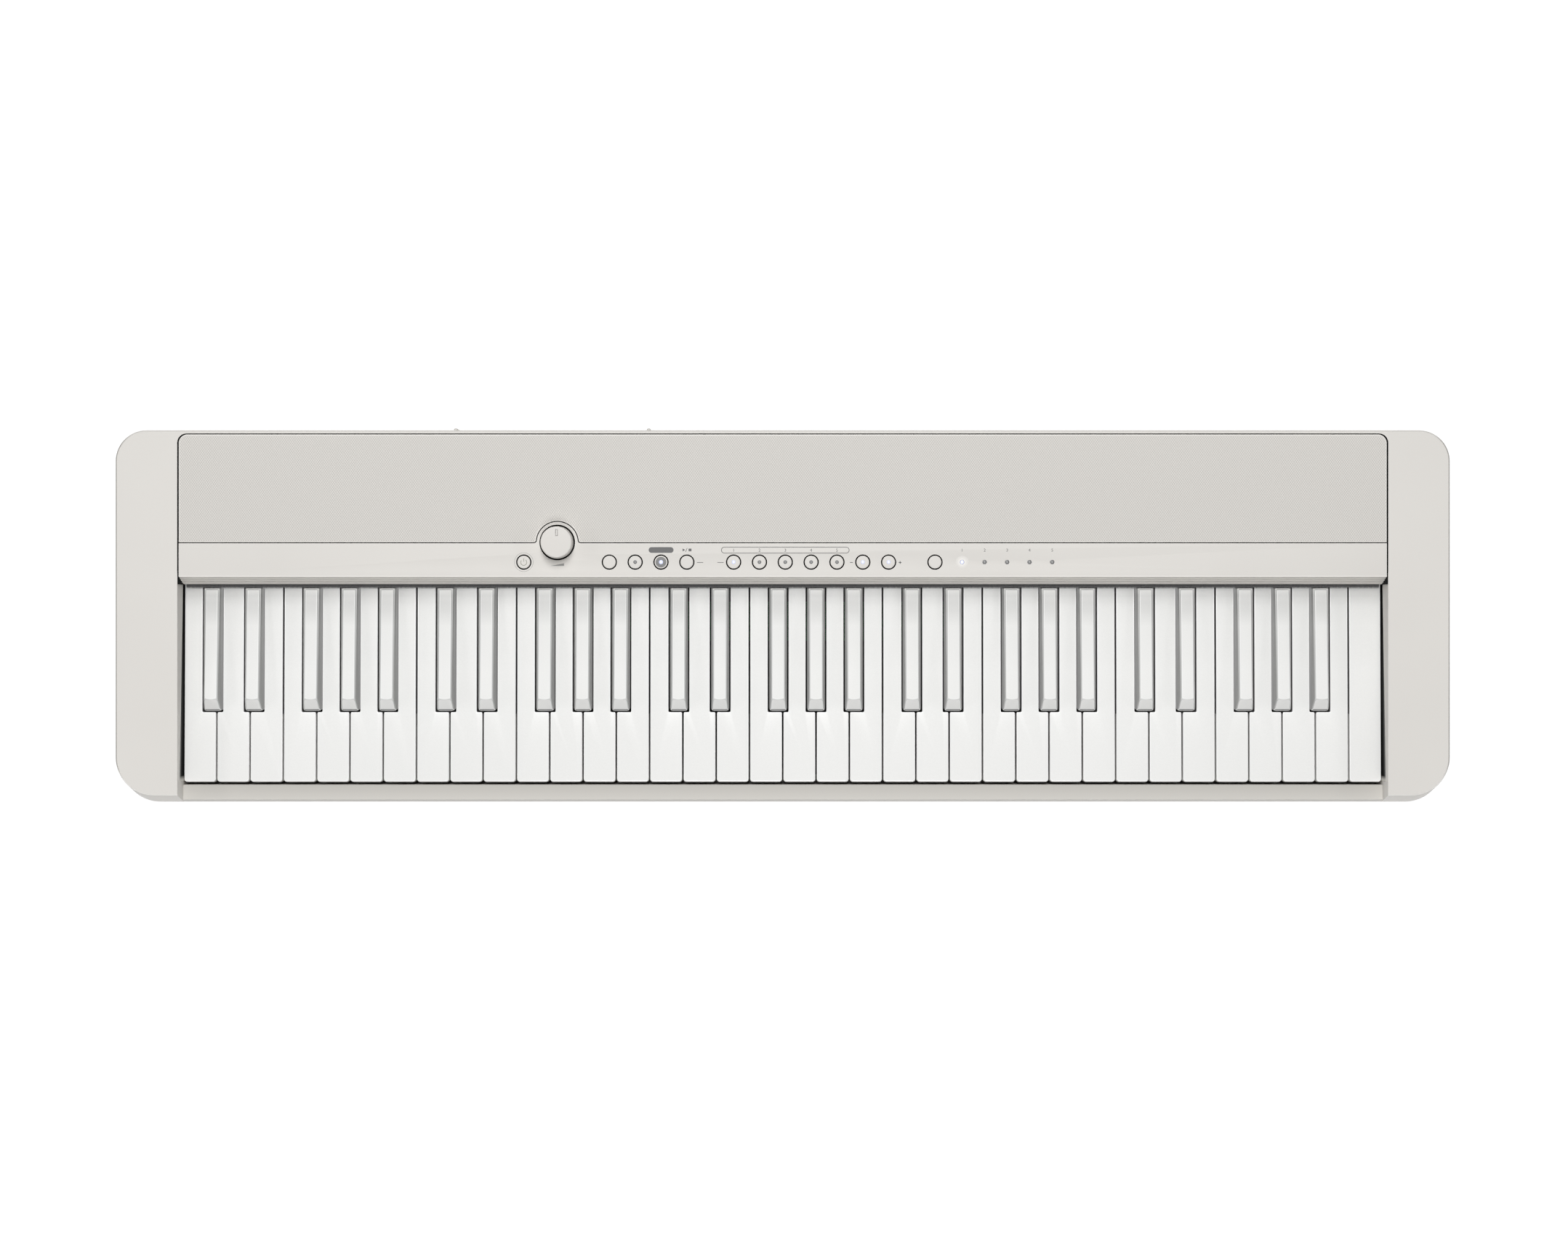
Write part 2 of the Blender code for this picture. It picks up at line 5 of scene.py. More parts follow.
import bmesh
import bpy
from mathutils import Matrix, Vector


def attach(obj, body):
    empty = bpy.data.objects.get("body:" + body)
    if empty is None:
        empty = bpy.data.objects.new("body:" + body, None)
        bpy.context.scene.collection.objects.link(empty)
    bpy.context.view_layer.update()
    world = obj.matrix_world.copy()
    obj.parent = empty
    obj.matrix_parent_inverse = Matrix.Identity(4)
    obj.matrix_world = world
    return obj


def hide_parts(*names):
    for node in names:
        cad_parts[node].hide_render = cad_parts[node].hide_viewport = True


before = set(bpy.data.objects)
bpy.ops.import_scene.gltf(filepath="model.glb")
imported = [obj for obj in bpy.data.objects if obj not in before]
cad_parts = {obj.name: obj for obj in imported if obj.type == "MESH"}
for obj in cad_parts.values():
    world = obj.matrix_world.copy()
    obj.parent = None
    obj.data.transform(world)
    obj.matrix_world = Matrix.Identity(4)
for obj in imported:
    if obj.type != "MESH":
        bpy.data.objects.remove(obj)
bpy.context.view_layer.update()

MM = 0.001
SHIFT_Y = -0.8  # the frame is centred on the box, which the rear ribs make 1.6 mm deeper

WIDTH, DEPTH = 930.0, 260.0
REAR_RADIUS, FRONT_RADIUS = 21.5, 27.0
TOP_Z, SPLIT_Z, BASE_Z = 61.5, 22.0, 3.5
WALL = 2.8
DECK_Z = 59.0
PLATE_Z0, PLATE_Z1 = 59.3, 61.5
PLATE_HALF, BAY_HALF = 420.9, 421.85
SLIP_REAR_Y = -118.1
PANEL_REAR_Y, GRILLE_FRONT_Y, GRILLE_REAR_Y = 51.3, 51.9, 127.1
PITCH, KEY_GAP = 23.43, 1.15
KEY_FRONT_Y, NOTCH_Y = -116.1, -67.0
KEY_TOP_Z, KEY_SLOPE, KEY_BASE_Z = 41.5, 0.0228, 26.0
OUTER_KEY_EDGE, SLOT_HALF = 420.95, 7.3
SHARP_HALF, SHARP_TOP_HALF = 6.35, 4.5
SHARP_OFFSET = {0: -2.8, 1: 2.8, 3: -3.2, 4: 0.0, 5: 3.2}
ARM_REAR_Y, SINGLE_REAR_Y = 56.6, 66.0
RAIL_Z = {"cegb": (26.0, 29.0), "dfa": (30.0, 33.0), "sharp": (34.0, 37.0)}
KNOB_X, KNOB_Y = -157.1, 51.8
BUTTON_Y = 38.1
BUTTONS = {
    "power_button": -180.4,
    "function_button": -120.8,
    "wireless_button": -102.8,
    "effect_button": -84.8,
    "play_button": -66.8,
    "tone_button_1": -34.2,
    "tone_button_2": -16.2,
    "tone_button_3": 1.8,
    "tone_button_4": 19.8,
    "tone_button_5": 37.8,
    "balance_minus_button": 55.8,
    "balance_plus_button": 73.8,
    "song_button": 106.1,
}
LIT_BUTTONS = ("effect_button", "tone_button_1", "balance_minus_button", "balance_plus_button")
DIM_BUTTONS = ("wireless_button", "tone_button_2", "tone_button_3", "tone_button_4", "tone_button_5")
HOLE_R, CAP_R, FLANGE_R = 5.35, 4.5, 5.9
LIGHTS_X = (125.0, 140.7, 156.4, 172.0, 187.8)
FOOT_X, FOOT_Y = 400.0, 100.0
JACK_Z = 34.0
JACKS = {"phones_jack": -115.0, "pedal_jack": -145.0, "usb_port": -176.0, "dc_inlet": -205.0}
RIB_X = (-228.3, -93.6)
BATTERY = (30.0, 150.0, 85.0, 120.0)


# ================================================================ materials
def tree_of(name):
    made = bpy.data.materials.new(name)
    made.use_nodes = True
    return made, made.node_tree, made.node_tree.nodes["Principled BSDF"]


def math_node(tree, operation, a, b=None):
    node = tree.nodes.new("ShaderNodeMath")
    node.operation = operation
    for socket, value in zip(node.inputs, (a, b)):
        if value is None:
            continue
        if isinstance(value, (int, float)):
            socket.default_value = value
        else:
            tree.links.new(value, socket)
    return node.outputs[0]


def noise(tree, scale, detail=3.0, rough=0.6, stretch=None):
    where = tree.nodes.new("ShaderNodeTexCoord").outputs["Object"]
    if stretch:
        mapping = tree.nodes.new("ShaderNodeMapping")
        mapping.inputs["Scale"].default_value = stretch
        tree.links.new(where, mapping.inputs["Vector"])
        where = mapping.outputs["Vector"]
    node = tree.nodes.new("ShaderNodeTexNoise")
    node.inputs["Scale"].default_value = scale
    node.inputs["Detail"].default_value = detail
    node.inputs["Roughness"].default_value = rough
    tree.links.new(where, node.inputs["Vector"])
    return node.outputs["Fac"]


def ramp(tree, factor, stops):
    node = tree.nodes.new("ShaderNodeValToRGB")
    while len(node.color_ramp.elements) < len(stops):
        node.color_ramp.elements.new(0.5)
    for element, (place, colour) in zip(node.color_ramp.elements, stops):
        element.position = place
        element.color = (*colour, 1.0)
    tree.links.new(factor, node.inputs["Fac"])
    return node.outputs["Color"]


def mix(tree, factor, a, b):
    node = tree.nodes.new("ShaderNodeMix")
    node.data_type = "RGBA"
    for socket, value in ((node.inputs["Factor"], factor), (node.inputs["A"], a), (node.inputs["B"], b)):
        if isinstance(value, (int, float)):
            socket.default_value = value
        elif isinstance(value, tuple):
            socket.default_value = (*value, 1.0)
        else:
            tree.links.new(value, socket)
    return node.outputs["Result"]


def bump(tree, shader, height, strength, distance):
    node = tree.nodes.new("ShaderNodeBump")
    node.inputs["Strength"].default_value = strength
    node.inputs["Distance"].default_value = distance
    tree.links.new(height, node.inputs["Height"])
    tree.links.new(node.outputs["Normal"], shader.inputs["Normal"])


def shade(colour, factor):
    return tuple(min(1.0, c * factor) for c in colour)


def srgb(r, g, b):
    def one(v):
        v /= 255.0
        return v / 12.92 if v <= 0.04045 else ((v + 0.055) / 1.055) ** 2.4

    return one(r), one(g), one(b)


def plastic(name, colour, rough=0.5, spread=0.035, grain=2600.0, strength=0.12, depth=0.00003, blotch=9.0, ior=1.46, level=0.5):
    """Moulded plastic: a fine spark-eroded grain, faint tone variation and a slightly uneven sheen."""
    made, tree, shader = tree_of(name)
    fine = noise(tree, grain, 2.0, 0.55)
    broad = noise(tree, blotch, 3.0, 0.5)
    tone = ramp(tree, broad, ((0.3, shade(colour, 1 - spread * 0.5)), (0.7, shade(colour, 1 + spread * 0.3))))
    speck = ramp(tree, fine, ((0.35, (0.95, 0.95, 0.95)), (0.65, (1.0, 1.0, 1.0))))
    node = tree.nodes.new("ShaderNodeMix")
    node.data_type = "RGBA"
    node.blend_type = "MULTIPLY"
    node.inputs["Factor"].default_value = 0.35
    tree.links.new(tone, node.inputs["A"])
    tree.links.new(speck, node.inputs["B"])
    tree.links.new(node.outputs["Result"], shader.inputs["Base Color"])
    uneven = math_node(tree, "MULTIPLY_ADD", broad, 0.10)
    uneven.node.inputs[2].default_value = rough - 0.05
    tree.links.new(uneven, shader.inputs["Roughness"])
    shader.inputs["IOR"].default_value = ior
    shader.inputs["Specular IOR Level"].default_value = level
    bump(tree, shader, fine, strength, depth)
    return made


def cloth_material(name, light, dark, pitch_x, pitch_y):
    """Woven speaker cloth: staggered rows of dots, with threads that wander a little."""
    made, tree, shader = tree_of(name)
    where = tree.nodes.new("ShaderNodeTexCoord").outputs["Object"]
    split = tree.nodes.new("ShaderNodeSeparateXYZ")
    tree.links.new(where, split.inputs[0])
    wander = math_node(tree, "MULTIPLY", noise(tree, 60.0, 2.0, 0.5), 2.2)
    drift = math_node(tree, "MULTIPLY", noise(tree, 45.0, 2.0, 0.5, (1.0, 1.7, 1.0)), 2.2)
    x = math_node(tree, "MULTIPLY", split.outputs["X"], 2 * math.pi / (pitch_x * MM))
    y = math_node(tree, "MULTIPLY", split.outputs["Y"], 2 * math.pi / (pitch_y * MM))
    u = math_node(tree, "SINE", math_node(tree, "ADD", x, wander))
    v = math_node(tree, "SINE", math_node(tree, "ADD", y, drift))
    weave = math_node(tree, "MULTIPLY", u, v)
    lifted = math_node(tree, "MULTIPLY_ADD", weave, 0.5)
    lifted.node.inputs[2].default_value = 0.5
    thread = noise(tree, 1500.0, 3.0, 0.6)
    mixed = math_node(tree, "ADD", math_node(tree, "MULTIPLY", lifted, 0.75), math_node(tree, "MULTIPLY", thread, 0.25))
    colour = ramp(tree, mixed, ((0.22, dark), (0.72, light)))
    tree.links.new(colour, shader.inputs["Base Color"])
    shader.inputs["Roughness"].default_value = 0.92
    shader.inputs["Sheen Weight"].default_value = 0.15
    shader.inputs["Sheen Roughness"].default_value = 0.5
    bump(tree, shader, mixed, 0.35, 0.00025)
    return made


def fuzzy(name, colour, light):
    made, tree, shader = tree_of(name)
    fibre = noise(tree, 1800.0, 4.0, 0.7, (0.5, 1.0, 1.0))
    tree.links.new(ramp(tree, fibre, ((0.3, colour), (0.75, light))), shader.inputs["Base Color"])
    shader.inputs["Roughness"].default_value = 0.97
    shader.inputs["Sheen Weight"].default_value = 0.4
    shader.inputs["Sheen Roughness"].default_value = 0.6
    bump(tree, shader, fibre, 0.8, 0.0004)
    return made


def metal(name, colour, rough=0.3):
    made, tree, shader = tree_of(name)
    brushed = noise(tree, 300.0, 3.0, 0.6, (1.0, 8.0, 8.0))
    tree.links.new(ramp(tree, brushed, ((0.3, shade(colour, 0.85)), (0.7, colour))), shader.inputs["Base Color"])
    shader.inputs["Metallic"].default_value = 1.0
    shader.inputs["Roughness"].default_value = rough
    bump(tree, shader, brushed, 0.15, 0.00003)
    return made


def board_material(name):
    """Green laminate with faint copper runs under the lacquer."""
    made, tree, shader = tree_of(name)
    where = tree.nodes.new("ShaderNodeTexCoord").outputs["Object"]
    brick = tree.nodes.new("ShaderNodeTexBrick")
    brick.inputs["Scale"].default_value = 160.0
    brick.inputs["Color1"].default_value = (0.015, 0.09, 0.035, 1)
    brick.inputs["Color2"].default_value = (0.02, 0.12, 0.05, 1)
    brick.inputs["Mortar"].default_value = (0.07, 0.22, 0.09, 1)
    brick.inputs["Mortar Size"].default_value = 0.03
    tree.links.new(where, brick.inputs["Vector"])
    tree.links.new(brick.outputs["Color"], shader.inputs["Base Color"])
    shader.inputs["Roughness"].default_value = 0.4
    bump(tree, shader, brick.outputs["Fac"], 0.2, 0.00005)
    return made


def lamp_material(name, colour, strength, halo=None):
    made, tree, shader = tree_of(name)
    grain = noise(tree, 900.0, 1.0, 0.5)
    tree.links.new(ramp(tree, grain, ((0.4, shade(colour, 0.97)), (0.6, colour))), shader.inputs["Base Color"])
    shader.inputs["Roughness"].default_value = 0.3
    shader.inputs["Emission Color"].default_value = (*(halo or colour), 1.0)
    shader.inputs["Emission Strength"].default_value = strength
    return made


def glow_material(name, colour, centre, radius, strength):
    """Panel plastic lit from within by a lamp: the glow fades with distance from its centre."""
    made, tree, shader = tree_of(name)
    where = tree.nodes.new("ShaderNodeTexCoord").outputs["Object"]
    away = tree.nodes.new("ShaderNodeVectorMath")
    away.operation = "DISTANCE"
    away.inputs[1].default_value = centre
    tree.links.new(where, away.inputs[0])
    share = math_node(tree, "DIVIDE", away.outputs["Value"], radius)
    fade = ramp(tree, share, ((0.3, (1, 1, 1)), (0.6, (0.35, 0.35, 0.35)), (1.0, (0, 0, 0))))
    grain = noise(tree, 2600.0, 2.0, 0.5)
    tree.links.new(ramp(tree, grain, ((0.3, shade(colour, 0.98)), (0.7, colour))), shader.inputs["Base Color"])
    shader.inputs["Roughness"].default_value = 0.5
    tree.links.new(fade, shader.inputs["Emission Color"])
    shader.inputs["Emission Strength"].default_value = strength
    return made


def faced_plastic(name, face, slope, side, brow_shade, rough, ior=1.46):
    """Moulded plastic with a grained top and painted light: a painted highlight on the front slope, painted shade that
    darkens the drafted sides and the edge rounding by their steepness, and a faint painted glow low on the sides facing
    the middle.
    """
    made = plastic(name, face, rough, 0.012, 1600.0, 0.05, 0.00002, 6.0, ior)
    tree = made.node_tree
    shader = tree.nodes["Principled BSDF"]
    light = shader.inputs["Base Color"].links[0].from_socket
    split = tree.nodes.new("ShaderNodeSeparateXYZ")
    tree.links.new(tree.nodes.new("ShaderNodeNewGeometry").outputs["Normal"], split.inputs[0])
    # painted shade: the flanks darken as they steepen; painted highlight: faces tilted forward take the lighter slope
    # colour
    painted_flank_shade = ramp(tree, split.outputs["Z"], ((0.35, side), (0.7, brow_shade), (0.95, face)))
    flat_top = ramp(tree, split.outputs["Z"], ((0.95, (0, 0, 0)), (0.985, (1, 1, 1))))
    forward = math_node(tree, "MULTIPLY", split.outputs["Y"], -1.0)
    slope_highlight_mask = ramp(tree, forward, ((0.6, (0, 0, 0)), (0.65, (1, 1, 1)), (0.73, (1, 1, 1)), (0.78, (0, 0, 0))))
    tree.links.new(mix(tree, slope_highlight_mask, mix(tree, flat_top, painted_flank_shade, light), slope), shader.inputs["Base Color"])
    shader.inputs["Specular IOR Level"].default_value = 0.18
    # painted glow: a faint grey emission low on each side that faces the keyboard's middle stands in for light bounced
    # into the gaps, so that side never goes quite black
    where = tree.nodes.new("ShaderNodeSeparateXYZ")
    tree.links.new(tree.nodes.new("ShaderNodeTexCoord").outputs["Object"], where.inputs[0])
    inward = math_node(tree, "MULTIPLY", math_node(tree, "MULTIPLY", where.outputs["X"], split.outputs["X"]), -1 / 0.25)
    inward.node.use_clamp = True
    low = math_node(tree, "MULTIPLY_ADD", where.outputs["Z"], -1 / 0.0026)
    low.node.inputs[2].default_value = 0.0412 / 0.0026
    low.node.use_clamp = True
    rim = ramp(tree, math_node(tree, "MULTIPLY", inward, low), ((0.0, (0, 0, 0)), (1.0, (0.24, 0.24, 0.238))))
    tree.links.new(rim, shader.inputs["Emission Color"])
    shader.inputs["Emission Strength"].default_value = 0.8
    return made


def cased_plastic(name, colour, side, front_highlight, rough, level):
    """Case plastic with painted shade, darker on the roundings and steep faces along its outer sides and, less, along
    its rear, and a painted highlight along the forward-tilted front edge of the top.
    """
    made = plastic(name, colour, rough, level=level)
    tree = made.node_tree
    shader = tree.nodes["Principled BSDF"]
    light = shader.inputs["Base Color"].links[0].from_socket
    where = tree.nodes.new("ShaderNodeSeparateXYZ")
    tree.links.new(tree.nodes.new("ShaderNodeTexCoord").outputs["Object"], where.inputs[0])
    # painted shade mask: the outer sides, and partly the rear
    across = ramp(tree, math_node(tree, "ABSOLUTE", where.outputs["X"]), ((0.452, (0, 0, 0)), (0.460, (1, 1, 1))))
    along = ramp(tree, where.outputs["Y"], ((0.116, (0, 0, 0)), (0.122, (0.3, 0.3, 0.3))))
    outer = math_node(tree, "MAXIMUM", across, along)
    split = tree.nodes.new("ShaderNodeSeparateXYZ")
    tree.links.new(tree.nodes.new("ShaderNodeNewGeometry").outputs["Normal"], split.inputs[0])
    steep_shade_mask = ramp(tree, split.outputs["Z"], ((0.03, (0.3, 0.3, 0.3)), (0.2, (1, 1, 1)), (0.6, (1, 1, 1)), (0.9, (0.75, 0.75, 0.75)), (0.975, (0.3, 0.3, 0.3)), (0.995, (0, 0, 0))))
    painted_edge_shade = mix(tree, math_node(tree, "MULTIPLY", outer, steep_shade_mask), light, side)
    # painted highlight mask: faces tilted forward and up along the front edge
    forward = math_node(tree, "MULTIPLY", split.outputs["Y"], -1.0)
    front = ramp(tree, forward, ((0.12, (0, 0, 0)), (0.3, (1, 1, 1)), (0.75, (1, 1, 1)), (0.85, (0, 0, 0))))
    upward = ramp(tree, split.outputs["Z"], ((0.35, (0, 0, 0)), (0.5, (1, 1, 1))))
    tree.links.new(mix(tree, math_node(tree, "MULTIPLY", front, upward), painted_edge_shade, front_highlight), shader.inputs["Base Color"])
    return made


def shade_rearward(made, low):
    """Painted shadow: the keys darken a little towards the felt, as under the panel's overhang."""
    tree = made.node_tree
    shader = tree.nodes["Principled BSDF"]
    light = shader.inputs["Base Color"].links[0].from_socket
    where = tree.nodes.new("ShaderNodeSeparateXYZ")
    tree.links.new(tree.nodes.new("ShaderNodeTexCoord").outputs["Object"], where.inputs[0])
    share = math_node(tree, "MULTIPLY_ADD", where.outputs["Y"], 1 / 0.0585)
    share.node.inputs[2].default_value = 0.0398 / 0.0585
    stops = ((0.0, 1.0), (0.22, 0.97), (0.56, 0.94), (0.74, low + 0.05), (0.84, low), (0.92, low + 0.02), (0.985, 0.98))
    tone = ramp(tree, share, tuple((p, (v, v, v)) for p, v in stops))
    node = tree.nodes.new("ShaderNodeMix")
    node.data_type = "RGBA"
    node.blend_type = "MULTIPLY"
    node.inputs["Factor"].default_value = 1.0
    tree.links.new(light, node.inputs["A"])
    tree.links.new(tone, node.inputs["B"])
    tree.links.new(node.outputs["Result"], shader.inputs["Base Color"])


def liner_material(name, wall):
    """Painted shade: a black strip whose top edge greys towards the front and whose front end fades into the colour of
    the wall behind it.
    """
    made, tree, shader = tree_of(name)
    where = tree.nodes.new("ShaderNodeSeparateXYZ")
    tree.links.new(tree.nodes.new("ShaderNodeTexCoord").outputs["Object"], where.inputs[0])
    fade_end = math_node(tree, "MULTIPLY_ADD", where.outputs["Y"], -1 / 0.0030)
    fade_end.node.inputs[2].default_value = -0.1122 / 0.0030
    fibre = ramp(tree, noise(tree, 1500.0, 2.0, 0.6), ((0.3, (0.001, 0.001, 0.001)), (0.7, (0.003, 0.003, 0.003))))
    share = ramp(tree, fade_end, ((0.0, (0, 0, 0)), (1.0, (1, 1, 1))))
    rise = math_node(tree, "MULTIPLY_ADD", where.outputs["Y"], -0.0945)
    rise.node.inputs[2].default_value = 0.0424
    depth = math_node(tree, "MULTIPLY", math_node(tree, "SUBTRACT", rise, where.outputs["Z"]), 1 / 0.009)
    top_edge_shade = ramp(tree, depth, ((0.0, (0.16, 0.16, 0.155)), (0.22, (0.05, 0.05, 0.05)), (0.5, (0.02, 0.02, 0.02)), (1.0, (0.003, 0.003, 0.003))))
    forward = math_node(tree, "MULTIPLY_ADD", where.outputs["Y"], -1 / 0.085)
    forward.node.inputs[2].default_value = -0.012 / 0.085
    forward.node.use_clamp = True
    tree.links.new(mix(tree, share, mix(tree, forward, fibre, top_edge_shade), wall), shader.inputs["Base Color"])
    shader.inputs["Roughness"].default_value = 0.95
    shader.inputs["Specular IOR Level"].default_value = 0.05
    return made


def slip_plastic(name, rear, front):
    """The low strip in front of the keys, with painted shade: darkest right beside the keys, lightening towards its
    front edge.
    """
    made = plastic(name, rear, 0.5, level=0.4)
    tree = made.node_tree
    shader = tree.nodes["Principled BSDF"]
    light = shader.inputs["Base Color"].links[0].from_socket
    where = tree.nodes.new("ShaderNodeSeparateXYZ")
    tree.links.new(tree.nodes.new("ShaderNodeTexCoord").outputs["Object"], where.inputs[0])
    share = math_node(tree, "MULTIPLY_ADD", where.outputs["Y"], -1 / 0.0105)
    share.node.inputs[2].default_value = -0.1189 / 0.0105
    share.node.use_clamp = True
    tree.links.new(mix(tree, share, light, front), shader.inputs["Base Color"])
    return made


def key_side_plastic(name, colour, inner):
    """The vertical sides of a natural, with painted shade: light at the head, darker along the shank between the
    sharps.
    """
    made = plastic(name, colour, 0.3, 0.012, 900.0, 0.03, 0.00001, 6.0, 1.5)
    tree = made.node_tree
    shader = tree.nodes["Principled BSDF"]
    light = shader.inputs["Base Color"].links[0].from_socket
    where = tree.nodes.new("ShaderNodeSeparateXYZ")
    tree.links.new(tree.nodes.new("ShaderNodeTexCoord").outputs["Object"], where.inputs[0])
    behind = math_node(tree, "GREATER_THAN", where.outputs["Y"], -0.0690)
    tree.links.new(mix(tree, behind, light, inner), shader.inputs["Base Color"])
    return made


CASE_RGB = srgb(226, 223, 218)
PANEL_RGB = srgb(225, 222, 217)
# case plastic: the second colour is painted shade on the outer sides and roundings, the third a painted highlight on
# the front edge
CASE = cased_plastic("case_plastic", CASE_RGB, srgb(160, 157, 152), srgb(252, 250, 246), 0.55, 0.4)
# painted highlight: the case's bevel faces take this lighter, glossier plastic
CASE_EDGE_HIGHLIGHT = plastic("case_edge_highlight_plastic", srgb(243, 240, 235), 0.35, 0.02, strength=0.04)
# painted shade on the top of the key slip
SLIP = slip_plastic("slip_plastic", srgb(194, 191, 185), srgb(211, 208, 202))
# painted highlight: the panel plate's bevel faces take this lighter, glossier plastic
PANEL_EDGE_HIGHLIGHT = plastic("panel_edge_highlight_plastic", srgb(248, 246, 242), 0.35, 0.02, strength=0.04)
# painted light: a lighter copy of the panel plastic on the stepped lip, offsetting the shade under the panel's edge
LIP = plastic("lip_plastic", srgb(244, 241, 236), 0.5, 0.02)
PANEL = plastic("panel_plastic", PANEL_RGB, 0.55, level=0.4)
RIM = plastic("grille_rim_plastic", srgb(232, 229, 224), 0.45)
CLOTH = cloth_material("speaker_cloth", srgb(225, 222, 217), srgb(199, 196, 191), 1.63, 2.18)
FELT = fuzzy("felt_grey", srgb(62, 62, 63), srgb(104, 104, 105))
# painted highlight: a near-white, glossier plastic on the rounded top edges of the keys
KEY_EDGE_HIGHLIGHT = plastic("key_edge_highlight_plastic", srgb(251, 251, 250), 0.2, 0.01, 900.0, 0.02, 0.00001, 6.0, 1.5)
# painted shade on the shank sides, between the sharps
NATURAL_SIDE = key_side_plastic("natural_side_plastic", srgb(240, 240, 238), srgb(168, 168, 167))
NATURAL = plastic("natural_plastic", srgb(246, 246, 244), 0.24, 0.012, 900.0, 0.03, 0.00001, 6.0, 1.5)
# sharp keys: painted highlight on the front slope, painted shade on the sides and rounding, faint painted glow low in
# the gaps
SHARP = faced_plastic("sharp_plastic", srgb(243, 243, 241), srgb(249, 249, 247), srgb(168, 168, 167), srgb(206, 206, 205), 0.45)
BUTTON = plastic("button_plastic", srgb(225, 222, 217), 0.45)
KNOB = plastic("knob_plastic", srgb(224, 221, 216), 0.42)
BLACK = plastic("black_plastic", (0.004, 0.004, 0.004), 0.8, level=0.2)
# painted shade for the gaps beside the outer keys
SHADE_STRIP = liner_material("bay_shade_strip", srgb(200, 197, 191))
# painted shadow towards the felt on both kinds of key
shade_rearward(NATURAL, 0.84)
shade_rearward(SHARP, 0.74)
# and a faint painted glow on those edges
KEY_EDGE_HIGHLIGHT.node_tree.nodes["Principled BSDF"].inputs["Emission Color"].default_value = (1.0, 1.0, 0.99, 1.0)
KEY_EDGE_HIGHLIGHT.node_tree.nodes["Principled BSDF"].inputs["Emission Strength"].default_value = 0.05
DARK = plastic("chassis_plastic", (0.02, 0.02, 0.02), 0.6)
PRINT = plastic("print_grey", srgb(112, 112, 112), 0.6, 0.02)
PRINT_PALE = plastic("print_pale_grey", srgb(150, 150, 147), 0.6, 0.02)
DISC = plastic("disc_grey", srgb(135, 135, 135), 0.5, 0.02)
ENGRAVED = plastic("engraved_mark", srgb(168, 168, 156), 0.55, 0.02)
KNOB_MARK = plastic("knob_mark", srgb(190, 188, 182), 0.5, 0.02)
LAMP_OFF = plastic("lamp_off", srgb(122, 122, 122), 0.35, 0.02)
LAMP_OFF_CORE = plastic("lamp_off_core", srgb(165, 165, 165), 0.3, 0.02)
LAMP_ON = lamp_material("lamp_on", (0.9, 0.92, 1.0), 0.5, (0.93, 0.95, 1.0))
LAMP_ON_EDGE = lamp_material("lamp_on_edge", (0.62, 0.66, 0.86), 0.12, (0.72, 0.76, 1.0))
RUBBER = plastic("rubber_foot", (0.018, 0.018, 0.018), 0.85, 0.2, 1400.0, 0.3, 0.00008)
BOARD = board_material("circuit_board")
SHELL = metal("plated_steel", (0.60, 0.60, 0.61), 0.3)
SCREW = metal("screw_steel", (0.32, 0.32, 0.33), 0.35)
CONE = plastic("speaker_paper", (0.012, 0.012, 0.013), 0.85, 0.2, 700.0, 0.4, 0.0001)
GUIDE = plastic("light_guide", srgb(205, 205, 203), 0.2, 0.02)


